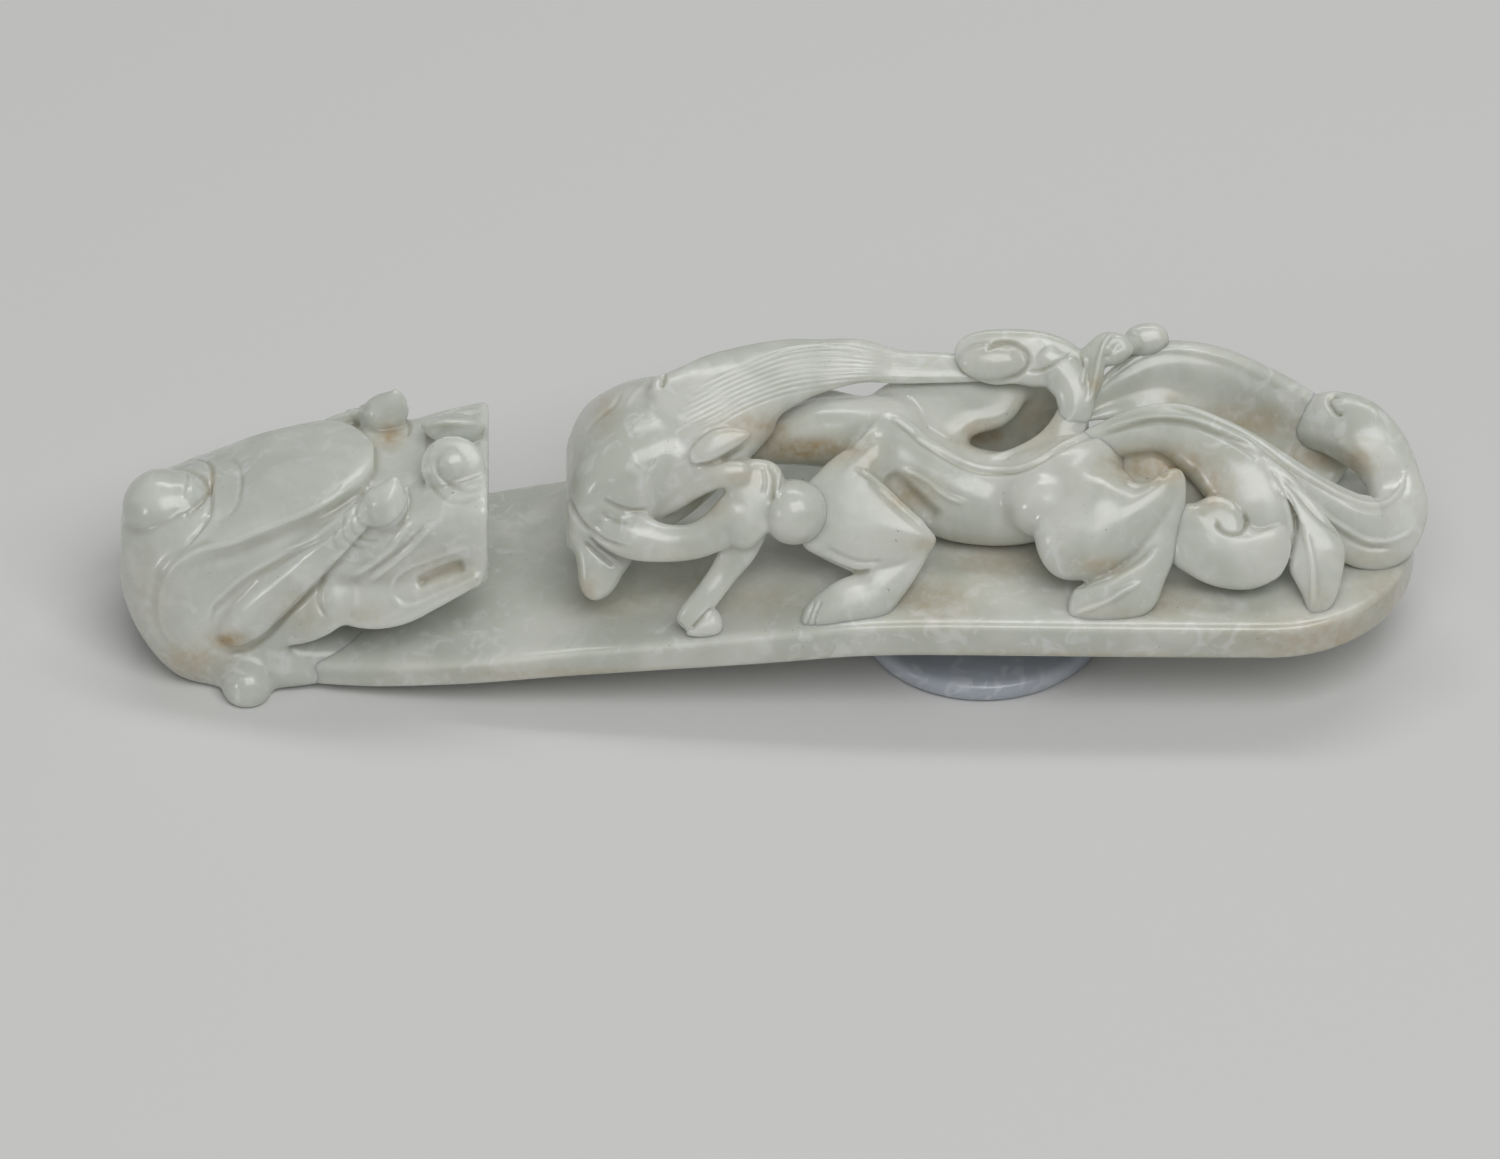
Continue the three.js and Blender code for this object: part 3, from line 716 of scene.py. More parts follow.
def line_distance(pixels, line):
    """Distance of each pixel from a line of pixel places, and how far along the line, from 0 to 1."""
    starts, ends = line[:-1], line[1:]
    step = ends - starts
    from_start = pixels[:, None] - starts
    t = np.clip((from_start * step).sum(-1) / (step**2).sum(-1), 0, 1)
    apart = np.linalg.norm(from_start - t[..., None] * step, axis=-1)
    nearest = apart.argmin(axis=1)
    row = np.arange(len(pixels))
    return apart[row, nearest], (nearest + t[row, nearest]) / len(step)


def carve(mesh, strokes, side=1):
    """Cuts or raises strokes on what faces the camera: each is its pixel places, its half width in pixels
    and its height in millimetres, below zero for a groove. It weakens over the last eighth at both ends.
    Side -1 does the same on the mirrored far side."""
    flip = np.array([1, side, 1])
    points = points_of(mesh)
    seen = points * flip
    outward = normals_of(mesh) * flip
    pixels = in_photo(seen)
    facing = np.clip((outward @ TO_CAMERA - FACING_START) / FACING_RANGE, 0, 1)
    facing = facing * frontmost(pixels, seen @ TO_CAMERA)
    lift = np.zeros(len(points))
    for line, half, height in strokes:
        line = smooth_curve(line, LINE_STEPS * len(line), places=2)
        low = line.min(axis=0) - half
        high = line.max(axis=0) + half
        near = np.flatnonzero(((pixels > low) & (pixels < high)).all(axis=1) & (facing > 0))
        apart, share = line_distance(pixels[near], line)
        fade = np.clip(np.minimum(share, 1 - share) * END_FADE, END_STRENGTH, 1)
        lift[near] += height * fade * np.clip(1 - (apart / half)**2, 0, 1)**2
    points = points + normals_of(mesh) * (lift * facing)[:, None]
    points[:, 2] = np.maximum(points[:, 2], 0)
    set_points(mesh, points)


def both_sides(grid):
    """A form and its mirror image on the far side."""
    return [grid, grid * np.array([1, -1, 1])]


def beside(line, across, down):
    """A line of pixel places moved across and down the picture."""
    return [(x + across, y + down) for x, y in line]


# Blocks: shares along the hook, across it, up it, of its half width and of its height, then the squareness
# and the taper
NECK_SHARES = [
    [0, 0, 0.5, 0.5, 0.14, 2.6, 0.22], [0.03, 0, 0.46, 0.72, 0.25, 2.6, 0.22],
    [0.1, 0, 0.41, 0.96, 0.38, 2.8, 0.22], [0.18, 0, 0.385, 1.06, 0.44, 3.4, 0.2],
    [0.3, 0, 0.385, 1.05, 0.47, 3.8, 0.13], [0.42, 0, 0.44, 0.98, 0.49, 3.6, 0.02],
    [0.5, 0, 0.52, 0.93, 0.46, 3.4, -0.05], [0.56, 0, 0.62, 0.75, 0.36, 3, 0],
    [0.6, 0, 0.7, 0.4, 0.2, 2.6, 0],
]
HEAD_SHARES = [
    [0.36, 0, 0.7, 0.8, 0.17, 2.6, 0.1], [0.45, 0, 0.74, 0.92, 0.2, 2.8, 0.1],
    [0.54, 0, 0.76, 0.97, 0.22, 3, 0.08], [0.65, 0, 0.77, 0.98, 0.23, 3.2, 0.06],
    [0.77, 0, 0.765, 0.96, 0.235, 4, 0.03], [0.88, 0, 0.79, 0.96, 0.25, 5.5, 0],
    [1, 0, 0.82, 0.98, 0.26, 7, 0],
]
CROWN_SHARES = [
    [0.17, 0, 0.65, 0.66, 0.055, 4, 0], [0.215, 0, 0.705, 0.76, 0.065, 4, 0],
    [0.304, 0, 0.785, 0.81, 0.067, 4, 0], [0.44, 0, 0.885, 0.78, 0.067, 4, 0],
    [0.58, 0, 0.975, 0.66, 0.067, 4, 0], [0.65, 0, 1.01, 0.46, 0.06, 3, 0],
    [0.69, 0, 1.025, 0.2, 0.045, 2.5, 0],
]
# Limbs: the pixel place, the depth in millimetres and the half width in pixels
HORN_ROWS = [
    [374, 505, -7, 12], [350, 527, -7.9, 15], [322, 551, -8.4, 19], [294, 576, -8.6, 22],
    [266, 599, -8.8, 25], [244, 618, -8.9, 25], [229, 631, -8.9, 20],
]
NAPE_FLOW_ROWS = [[160, 566, -5, 26], [166, 546, -3.6, 31], [175, 526, -2.2, 33], [182, 512, -1.4, 29]]
EYE_ROWS = [
    [372, 518, -6.7, 17], [381, 510, -6.7, 23], [389, 500, -6.6, 22], [394, 488, -6.4, 13],
    [396, 480, -6.3, 5],
]
JAW_ROWS = [
    [336, 588, -7.8, 20], [350, 594, -8.2, 30], [370, 597, -8.5, 33], [398, 594, -8.5, 32],
    [425, 585, -8.4, 28], [455, 572, -8.2, 25], [476, 565, -8.1, 22],
]
JOWL_ROWS = [
    [264, 622, -7.6, 34], [290, 609, -8.2, 42], [318, 599, -8.6, 42], [342, 595, -8.7, 35],
    [362, 596, -8.2, 28],
]
ROOT_SHARES = [
    [0.14, 0, 0.14, 0.9, 0.2, 3, 0.1], [0.25, 0, 0.14, 1.1, 0.2, 3.2, 0.1],
    [0.4, 0, 0.135, 1.16, 0.185, 3.4, 0.08], [0.54, 0, 0.13, 1.15, 0.14, 3.4, 0.06],
    [0.68, 0, 0.125, 1.04, 0.105, 3.2, 0.03], [0.85, 0, 0.125, 0.86, 0.06, 3, 0],
]

# Eggs: the pixel place, the depth in millimetres and three half sizes in pixels
NECK_KNOB = (247, 685, -10.2, 26, 27, 27)
NAPE_CURL = (163, 509, 0, 41, 41, 41)
NAPE_FRONT = (176, 507, 0, 38, 37, 37)
NOSTRIL_WING = (453, 466, -2.8, 33, 31, 7)
NOSTRIL_BOSS = (452, 463, -2.9, 16, 15, 7)
NOSE_RIDGE = (455, 429, 2.2, 30, 16, 17)

CROWN_RIM = [
    (352, 484), (335, 497), (310, 511), (283, 522), (255, 533), (231, 543), (199, 551), (178, 564),
]
NECK_RIDGE = [(225, 545), (199, 551), (178, 564), (164, 587), (161, 613), (168, 637), (185, 650)]
SECOND_LINE = [
    (352, 503), (325, 530), (300, 544), (270, 561), (245, 575), (225, 592), (211, 606), (208, 622),
]
HORN_UNDER = [(328, 574), (314, 589), (296, 606), (280, 622), (262, 641), (242, 652), (220, 652)]
NAPE_EDGE = [(189, 469), (204, 478), (212, 495), (210, 516), (199, 533), (184, 549)]
NAPE_INNER = [(186, 468), (189, 480), (187, 492)]
CROWN_RING = [(238, 468), (242, 482), (241, 497), (236, 508), (229, 517)]
LID_ARCS = [
    [(357, 508), (352, 520), (355, 532), (366, 540), (382, 541)],
    [(346, 513), (343, 526), (346, 539), (356, 547), (370, 549)],
    [(337, 529), (334, 539), (338, 547), (347, 552)],
]
EYE_EDGE = [
    (375, 480), (364, 494), (357, 509), (360, 522), (374, 530), (392, 526), (405, 514), (410, 500),
    (406, 488), (397, 477),
]
JAW_RIDGES = [
    [(412, 520), (402, 535), (392, 548), (380, 558), (366, 568), (350, 577)],
    [(438, 520), (424, 535), (411, 548), (399, 558), (384, 570), (367, 583)],
]
JAW_GROOVES = [
    [(426, 526), (412, 541), (398, 554), (384, 565), (366, 577)],
    [(346, 560), (334, 568), (324, 580), (319, 594), (321, 607), (330, 620)],
]
NOSTRIL_ARCS = [
    [(452, 430), (436, 438), (428, 455), (428, 478), (440, 495), (460, 503), (484, 494)],
    [(446, 452), (438, 462), (440, 474), (452, 486), (468, 491), (484, 487)],
]
MOUTH_SLOT = [(416, 585), (430, 578), (448, 571), (468, 565)]
MOUTH_RIMS = [
    [(390, 590), (396, 577), (407, 569), (433, 559), (471, 546)],
    [(392, 596), (400, 604), (412, 605), (433, 596), (460, 585), (490, 571)],
]
# Strokes: the pixel places, the half width in pixels and the height in millimetres
DRAGON_STROKES = [
    (CROWN_RIM, 5, 0.22),
    (beside(CROWN_RIM, 5, 11), 9, -0.15),
    (NECK_RIDGE, 5, 0.09),
    (beside(NECK_RIDGE, -8, -3), 7, -0.1),
    (SECOND_LINE, 4, 0.1),
    (beside(SECOND_LINE, 3, 6), 5, -0.15),
    (HORN_UNDER, 5, -0.2),
    (NAPE_EDGE, 4, -0.25),
    (NAPE_INNER, 3, -0.08),
    (CROWN_RING, 3, -0.08),
    *[(arc, 3, -0.14) for arc in LID_ARCS],
    (EYE_EDGE, 4, -0.2),
    *[(ridge, 5, 0.24) for ridge in JAW_RIDGES],
    *[(groove, 5, -0.2) for groove in JAW_GROOVES],
    *[(arc, 4, -0.12) for arc in NOSTRIL_ARCS],
    (MOUTH_SLOT, 9, -0.6),
    *[(rim, 4, 0.15) for rim in MOUTH_RIMS],
]
DRAGON_NODES = ["hook_neck", "hook_head", "crown_plate", "nape_curl"] + [
    f"{side}_{part}" for side in ("near", "far") for part in ("eye", "nostril", "horn", "jaw", "neck_knob")
]
# Brown on the horn's tip and the neck's rim; painted shade on the neck's dark side and in the recesses by the
# jaw
DRAGON_STAINS_AND_SHADE = [
    (228, 640, 20, 9, 0.95), (390, 436, 14, 12, 0.8), (190, 662, 34, 20, 0.6), (445, 572, 34, 18, 0.3),
    (365, 615, 24, 12, 0.3), (300, 612, 26, 22, 0.35), (150, 600, 30, 60, 0.2), (212, 480, 6, 12, 0.4),
]
# The grain of the skin in millimetres, and the rounds of easing for its masses, forms and details
DRAGON_GRAIN = 0.212
DRAGON_EASING = (20, 12, 4)
# A slightly lighter copy of the celadon for the dragon head: painted light, for the brighter light on the
# head
HEAD_PALE_LIGHTER = (0.66, 0.68, 0.63)
HEAD_DEEP_LIGHTER = (0.51, 0.545, 0.49)


def hook_block(rows):
    """A block of the dragon head, its rows in shares of the hook."""
    return lofted(rows, on_hook, HOOK_WIDTH / 2, HOOK_HEIGHT)


dragon_mesh = layered("dragon_head", DRAGON_GRAIN, DRAGON_EASING, [
    hook_block(NECK_SHARES),
    hook_block(ROOT_SHARES),
    *both_sides(seen_limb(JOWL_ROWS, flatness=0.22)),
    *both_sides(seen_egg(*NECK_KNOB)),
], [
    hook_block(HEAD_SHARES),
    *both_sides(seen_limb(JAW_ROWS, flatness=0.28, squareness=3.2)),
], [
    hook_block(CROWN_SHARES),
    seen_egg(*NAPE_CURL),
    seen_egg(*NAPE_FRONT),
    seen_limb(NAPE_FLOW_ROWS, flatness=0.6),
    *both_sides(seen_limb(HORN_ROWS, flatness=0.5, facet=0.35, crest=0.1)),
    *both_sides(seen_limb(EYE_ROWS, flatness=0.8)),
    *both_sides(seen_egg(*NOSTRIL_WING)),
    seen_egg(*NOSE_RIDGE),
    *both_sides(seen_egg(*NOSTRIL_BOSS)),
])
for side in (1, -1):
    carve(dragon_mesh, DRAGON_STROKES, side)
celadon_painted_lighter = jade("celadon jade painted lighter", HEAD_PALE_LIGHTER, HEAD_DEEP_LIGHTER, cloud_strength=0.55, wisp_strength=0.6)
piece("dragon_head", dragon_mesh, celadon_painted_lighter, DRAGON_NODES, DRAGON_STAINS_AND_SHADE)

# The chilong's head and forelegs
# The openwork animal rests its blunt, square-nosed head over the tongue. Its head, mane, ear, chin tuft,
# shoulder and leading foreleg are cut from the same stone, drilled through between and then rounded over.
RELIEF_HEIGHT = 16
CHILONG_HEAD_WIDTH = 14.6
CHILONG_HEAD_DEPTH = 13.2
CHILONG_HEAD_SHARES = [
    [0.343, 0, 0.52, 0.8, 0.5, 2.8, 0], [0.355, 0.02, 0.6, 0.95, 0.82, 2.8, 0],
    [0.385, 0.05, 0.67, 1, 1, 2.8, 0], [0.415, 0.09, 0.695, 0.96, 0.96, 2.8, 0],
    [0.445, 0.17, 0.7, 0.82, 0.82, 2.6, 0], [0.472, 0.28, 0.71, 0.62, 0.62, 2.4, 0],
    [0.495, 0.36, 0.71, 0.4, 0.4, 2, 0],
]
# A face turned between the camera and the sky
STEEP = np.array([0, -0.45, 0.893])
MANE_ROWS = [
    [664, 408, 0.8, 36], [704, 402, 1.6, 46], [738, 391, 3.2, 48], [766, 379, 4.8, 42],
    [795, 370, 6, 36], [825, 365, 6.8, 30], [860, 361, 7.2, 26], [899, 367, 7.4, 21], [951, 368, 7.3, 19],
    [1003, 371, 7.1, 14],
]
# Flat forms: their outline in pixels, then where the centre lies and how far they swell to both sides
EAR_OUTLINE = [
    (690, 461), (692, 450), (701, 439), (713, 431), (727, 427), (741, 428), (752, 433), (743, 443),
    (729, 452), (714, 460), (700, 465),
]
EAR_SEAT = dict(centre=(720, 446), depth=-3.8, front=0.8, back=1.4, roundness=3)
CHIN_OUTLINE = [
    (571, 520), (573, 544), (577, 563), (579, 583), (585, 596), (594, 601), (606, 597), (615, 589),
    (623, 575), (633, 560), (638, 546), (622, 526), (596, 514),
]
CHIN_SEAT = dict(centre=(602, 558), depth=-6.2, front=1.4, back=1.8, roundness=3)
BAND_LEG_ROWS = [
    [590, 518, -5.9, 10], [610, 529, -6.8, 20], [636, 537, -7.5, 24], [664, 543, -7.9, 20],
    [695, 541, -8, 19], [718, 530, -7.6, 21], [738, 514, -7, 25],
]
THROAT_ROWS = [[655, 482, -3, 34], [700, 456, -2.4, 34], [735, 436, -0.6, 28], [760, 421, 1.6, 20]]
CHEEK_ROWS = [
    [640, 512, -4.6, 14], [668, 500, -4.8, 15], [695, 484, -5, 15], [722, 474, -5.2, 14],
    [742, 472, -5.2, 12],
]
SHOULDER_OUTLINE = [
    (730, 500), (722, 484), (726, 471), (738, 462), (752, 459), (770, 461), (781, 469), (785, 484),
    (782, 505), (773, 525), (761, 540), (747, 550), (733, 545), (729, 525),
]
SHOULDER_SEAT = dict(centre=(751, 508), depth=-6.4, front=1.5, back=2.2, roundness=3)
STRUT_ROWS = [
    [748, 525, -6.8, 22], [738, 550, -7.8, 19], [725, 571, -8.9, 15], [710, 592, -10.2, 14],
    [694, 612, -11.2, 14], [685, 622, -11.5, 12],
]
SHOULDER_BALL = (794, 512, -6.2, 33, 33, 33)
TOE_OUTLINE = [(714, 607), (723, 623), (720, 633), (700, 637), (686, 634), (690, 628), (702, 618)]
TOE_SEAT = dict(centre=(705, 625), depth=-11.6, front=0.9, back=1)
MANE_TOP = np.array([
    (672, 400), (704, 384), (745, 366), (790, 350), (840, 346), (890, 355), (940, 359), (1000, 362),
])
MANE_FOOT = np.array([
    (700, 432), (716, 424), (752, 406), (790, 393), (832, 386), (884, 381), (940, 381), (990, 383),
])
HAIR_LINES = 9
HAIR_HALF_WIDTH = 2.2
HAIR_DEPTH = 0.045
HAIR_DEEPENING = 0.008
HAIR_STROKES = [
    (
        (MANE_TOP + (MANE_FOOT - MANE_TOP) * line / (HAIR_LINES - 1)).tolist(), HAIR_HALF_WIDTH,
        -HAIR_DEPTH - HAIR_DEEPENING * line,
    )
    for line in range(HAIR_LINES)
]
# The lip and cheek lines, the brow's notch and ridge, the tuft's grooves, the fold under the ear, the
# shoulder's curl and the toes
FOREPART_STROKES = [
    ([(602, 498), (615, 506), (632, 511), (650, 510)], 4, -0.25),
    ([(601, 512), (612, 520), (630, 524)], 4, -0.15),
    ([(568, 497), (576, 515), (588, 529), (606, 541), (628, 548)], 4, -0.3),
    ([(658, 362), (663, 376), (661, 388)], 5, -0.5),
    ([(588, 436), (590, 428), (600, 418), (615, 405), (622, 392)], 3.5, -0.15),
    ([(626, 408), (633, 396), (645, 384), (653, 374)], 4, 0.1),
    ([(583, 541), (598, 553), (615, 567)], 3.5, -0.25),
    ([(588, 537), (604, 549), (622, 560)], 3, -0.15),
    ([(694, 466), (714, 464), (731, 456), (747, 446)], 4, -0.2),
    ([(769, 464), (774, 478), (773, 492), (770, 504)], 3, -0.25),
    ([(762, 466), (765, 480), (763, 496)], 2.5, -0.15),
    ([(779, 472), (777, 486), (778, 500)], 3.5, 0.3),
    ([(714, 607), (704, 616), (690, 630)], 3, -0.3),
    ([(671, 618), (679, 624), (686, 634)], 3, -0.2),
]
# Brown stains, with painted shade in the recess under the mane and on the shadowed underside of the jaw and
# cheek
FOREPART_STAINS_AND_SHADE = [
    (585, 592, 16, 20, 0.35), (606, 412, 14, 22, 0.4), (706, 506, 22, 14, 0.45), (760, 428, 40, 16, 0.6),
    (680, 560, 40, 12, 0.2), (560, 470, 14, 60, 0.25), (740, 475, 40, 14, 0.3),
]
FOREPART_NODES = [
    "chilong_head", "near_ear", "chin_tuft", "mane", "leading_foreleg", "leading_paw", "shoulder_ball",
]
FOREPART_GRAIN = 0.17
FOREPART_EASING = (40, 12, 3)


def over_tongue(along, across, up):
    """Places over the tongue: shares of its length, of its half width and of the relief's height."""
    top = ARCH_RISE * under_rise(along) + TONGUE_THICKNESS * thickness(along)
    return np.stack([along_x(along), across * TONGUE_WIDTH / 2, top + up * RELIEF_HEIGHT], axis=-1)


forepart_mesh = layered("chilong_forepart", FOREPART_GRAIN, FOREPART_EASING, [
    lofted(CHILONG_HEAD_SHARES, over_tongue, CHILONG_HEAD_WIDTH / 2, CHILONG_HEAD_DEPTH / 2),
    seen_limb(MANE_ROWS, face=STEEP, flatness=0.36, squareness=2.4, along=240, around=120),
    seen_limb(THROAT_ROWS, flatness=0.8),
], [
    seen_limb(BAND_LEG_ROWS, flatness=0.55, facet=0.2, crest=-0.2),
    seen_limb(CHEEK_ROWS, flatness=0.6),
    cut_form(SHOULDER_OUTLINE, **SHOULDER_SEAT),
    seen_limb(STRUT_ROWS, flatness=0.55, squareness=2.6),
    cut_form(CHIN_OUTLINE, **CHIN_SEAT),
], [
    cut_form(EAR_OUTLINE, **EAR_SEAT),
    cut_form(TOE_OUTLINE, **TOE_SEAT),
    seen_egg(*SHOULDER_BALL),
])
carve(forepart_mesh, HAIR_STROKES + FOREPART_STROKES)
piece("chilong_forepart", forepart_mesh, celadon, FOREPART_NODES, FOREPART_STAINS_AND_SHADE)

# The body and its other legs
# The smooth trunk comes out of the neck under the mane, dips over the tongue and rises to the tail, with a
# double line along its back. The trailing foreleg and the hind leg are cut flat from the same stone, with
# crisp edges.
NECK_MASS_ROWS = [
    [764, 446, 2.8, 20], [790, 438, 3.1, 29], [820, 433, 3.5, 35], [850, 433, 3.4, 37],
    [885, 436, 2.8, 40],
]
WEB_OUTLINE = [
    (866, 400), (880, 386), (904, 377), (950, 374), (1000, 376), (1032, 382), (1028, 398), (1018, 415),
    (1002, 427), (983, 431), (966, 440), (950, 458), (925, 460), (895, 448), (866, 432), (856, 415),
]
WEB_SEAT = dict(centre=(940, 412), depth=5, front=1.3, back=2, face=STEEP)
TRUNK_ROWS = [
    [858, 446, 1.6, 30], [885, 457, 0.4, 39], [915, 473, 0.2, 44], [950, 490, 0.2, 49],
    [985, 498, -0.1, 48], [1018, 498, -0.5, 47], [1050, 489, -1, 46], [1085, 469, -0.2, 36],
    [1112, 452, 2, 22], [1135, 444, 3, 12],
]
SHOULDER_ROWS = [
    [896, 410, 3.6, 9], [884, 430, 1.4, 18], [872, 452, -0.8, 25], [862, 476, -2.2, 27],
    [852, 506, -3.6, 28],
]
THIGH_OUTLINE = [
    (806, 486), (818, 472), (832, 459), (846, 450), (859, 447), (867, 454), (872, 468), (882, 484),
    (898, 501), (915, 517), (930, 530), (936, 539), (930, 552), (915, 562), (890, 572), (860, 574),
    (838, 566), (818, 556), (803, 546), (800, 518),
]
THIGH_SEAT = dict(centre=(865, 520), depth=-5.8, front=1.7, back=2.6)
LOWER_LEG_OUTLINE = [
    (936, 539), (930, 552), (916, 577), (898, 603), (884, 622), (868, 628), (840, 633), (815, 633),
    (801, 626), (803, 612), (812, 600), (828, 586), (845, 577), (862, 572), (880, 545), (910, 530),
]
LOWER_LEG_SEAT = dict(centre=(868, 600), depth=-10.4, front=1.3, back=1.8)
HAUNCH_OUTLINE = [
    (1036, 524), (1032, 538), (1035, 552), (1043, 568), (1054, 578), (1068, 582), (1086, 581),
    (1105, 575), (1122, 565), (1139, 555), (1155, 545), (1172, 520), (1184, 500), (1185, 484),
    (1182, 472), (1172, 467), (1162, 473), (1152, 482), (1140, 485), (1126, 481), (1108, 484),
    (1085, 487), (1062, 495), (1048, 507),
]
HAUNCH_SEAT = dict(centre=(1100, 528), depth=-6.6, front=2.6, back=2.4, roundness=2)
SHANK_OUTLINE = [
    (1152, 484), (1160, 475), (1166, 470), (1173, 468), (1180, 470), (1184, 476), (1186, 490),
    (1183, 522), (1178, 547), (1171, 566), (1164, 582), (1156, 603), (1145, 615), (1133, 621),
    (1108, 626), (1080, 626), (1068, 616), (1073, 590), (1095, 580), (1118, 568), (1136, 550),
    (1147, 515),
]
SHANK_SEAT = dict(centre=(1140, 565), depth=-9, front=1.3, back=1.8)
HIP_ROWS = [[1062, 480, 0.2, 36], [1084, 492, -2, 42], [1100, 512, -4.4, 44], [1098, 534, -6, 42]]
NECK_FILL_OUTLINE = [
    (750, 436), (764, 418), (782, 403), (804, 393), (834, 389), (846, 393), (862, 396), (878, 404),
    (884, 424), (860, 440), (815, 446), (770, 452), (748, 448),
]
NECK_FILL_SEAT = dict(centre=(816, 420), depth=5, front=1.4, back=2.4, face=STEEP)
STEM_FOOT_ROWS = [
    [1076, 404, 4.4, 17], [1073, 416, 3.6, 18], [1062, 432, 2.4, 17], [1042, 446, 1.6, 13],
    [1014, 457, 1, 10], [986, 462, 0.6, 7],
]
NEAR = np.array([0, -1.0, 0])
FAR_WALL_OUTLINE = [
    (974, 420), (1000, 394), (1030, 380), (1062, 380), (1086, 398), (1092, 424), (1088, 456), (1070, 484),
    (1030, 492), (985, 486), (960, 466), (960, 440),
]
FAR_WALL_SEAT = dict(centre=(1034, 424), depth=7.6, front=0.8, back=1.2, face=NEAR)
HAUNCH_FILL = (1050, 505, -3.5, 46, 36, 34)
BACK_LINE = [
    (889, 413), (897, 417), (912, 427), (924, 438), (936, 446), (951, 455), (963, 461), (980, 467),
    (1000, 469), (1022, 467), (1044, 457), (1064, 444), (1085, 435), (1106, 428), (1127, 421),
]
# The back's double line, the folds of the flank and the neck, the thigh's edge, the grooves over the lower
# leg, the toes, the edges of the shank and the haunch, and the knee's rim
BODY_STROKES = [
    (BACK_LINE, 3.5, 0.2),
    (beside(BACK_LINE, -4, 5), 4, -0.2),
    ([(902, 470), (914, 474), (928, 482), (940, 492), (952, 499), (966, 503)], 4.5, 0.3),
    ([(888, 472), (900, 484), (914, 498), (928, 512), (940, 522)], 12, -0.5),
    ([(880, 420), (872, 429), (862, 440), (852, 450)], 5, 0.15),
    ([(872, 422), (863, 433), (854, 443), (845, 453)], 5, -0.12),
    ([(858, 470), (868, 476), (881, 487), (897, 502), (914, 517), (929, 530)], 4, 0.3),
    ([(824, 546), (842, 556), (862, 562), (884, 560)], 5, -0.2),
    ([(818, 558), (840, 568), (858, 573), (872, 570)], 3.5, -0.3),
    ([(815, 600), (810, 614), (807, 627)], 2.5, -0.2),
    ([(822, 600), (816, 614), (814, 630)], 2.5, -0.2),
    ([(1070, 614), (1091, 607), (1108, 600), (1122, 591), (1137, 584)], 4, 0.3),
    ([(1068, 585), (1086, 585), (1106, 579), (1123, 569), (1140, 559), (1152, 549)], 5, -0.25),
    ([(1124, 479), (1132, 485), (1142, 486), (1153, 482), (1162, 474)], 3, 0.2),
]
# Mostly painted shade: under the neck mass, in the cave under the tail, in the opening and under the trunk
BODY_STAINS_AND_SHADE = [
    (805, 450, 56, 13, 0.95), (768, 436, 26, 22, 0.7), (1100, 566, 26, 10, 0.55), (908, 494, 26, 18, 0.6),
    (1110, 615, 40, 8, 0.3), (985, 436, 30, 14, 0.7), (1150, 466, 44, 18, 0.9), (1036, 420, 30, 34, 0.45),
    (940, 545, 40, 10, 0.4), (868, 462, 12, 14, 0.35),
]
BODY_NODES = [
    "chilong_neck", "body", "trailing_upper_foreleg", "trailing_lower_foreleg", "hind_thigh", "hind_shank",
]
BODY_GRAIN = 0.178
BODY_EASING = (40, 10, 5)

body_mesh = layered("body_and_legs", BODY_GRAIN, BODY_EASING, [
    seen_limb(NECK_MASS_ROWS),
    cut_form(WEB_OUTLINE, **WEB_SEAT),
    cut_form(FAR_WALL_OUTLINE, **FAR_WALL_SEAT),
    cut_form(NECK_FILL_OUTLINE, **NECK_FILL_SEAT),
    seen_limb(TRUNK_ROWS, flatness=0.9),
    seen_limb(SHOULDER_ROWS),
    seen_limb(HIP_ROWS),
    seen_egg(*HAUNCH_FILL),
    cut_form(HAUNCH_OUTLINE, **HAUNCH_SEAT),
], [
    seen_limb(STEM_FOOT_ROWS, flatness=0.6),
], [
    cut_form(THIGH_OUTLINE, **THIGH_SEAT),
    cut_form(LOWER_LEG_OUTLINE, **LOWER_LEG_SEAT),
    cut_form(SHANK_OUTLINE, **SHANK_SEAT),
])
carve(body_mesh, BODY_STROKES)
piece("body_and_legs", body_mesh, celadon, BODY_NODES, BODY_STAINS_AND_SHADE)

# The tail
# It divides into a band that coils down into a scroll, a leaf that lies on the tongue, and a long strand
# that loops round the broad end into the far lobe. A tall plume of the same stone stands behind it.
BAND_ROWS = [
    [1050, 472, 2, 10], [1092, 447, 1.6, 19], [1130, 436, 1.4, 19], [1165, 434, 1.2, 20],
    [1196, 448, 0, 28], [1224, 468, -1.8, 35], [1248, 494, -3.8, 37], [1262, 524, -5.6, 33],
    [1256, 552, -7, 30], [1236, 562, -7.8, 28], [1212, 560, -7.8, 25],
]
DISC_OUTLINE = [
    (1168, 540), (1172, 520), (1184, 504), (1194, 503), (1202, 499), (1213, 496), (1224, 499),
    (1234, 504), (1242, 512), (1246, 524), (1262, 530), (1284, 526), (1289, 542), (1286, 560),
    (1276, 577), (1259, 587), (1242, 590), (1221, 588), (1202, 582), (1186, 573), (1172, 563),
]
DISC_SEAT = dict(centre=(1228, 545), depth=-7.6, front=1.7, back=2.2)
LOOP_ROWS = [
    [1096, 432, 2.6, 8], [1128, 418, 2.2, 9], [1152, 413, 2, 10], [1175, 414, 1.8, 11],
    [1205, 424, 1, 13], [1238, 442, -0.2, 16], [1268, 464, -1.4, 19], [1298, 488, -2.4, 23],
    [1326, 510, -3.2, 29], [1353, 528, -3.6, 36], [1380, 532, -3.2, 38], [1398, 510, -0.8, 31],
    [1393, 480, 2.4, 29], [1379, 453, 4.8, 32], [1357, 432, 6.6, 35], [1334, 423, 8, 33],
    [1316, 421, 8.9, 29], [1298, 418, 10.2, 23],
]
FORK_ROWS = [[1276, 478, -1.2, 18], [1298, 512, -3.2, 29], [1316, 545, -5.6, 24], [1322, 575, -7.4, 18]]
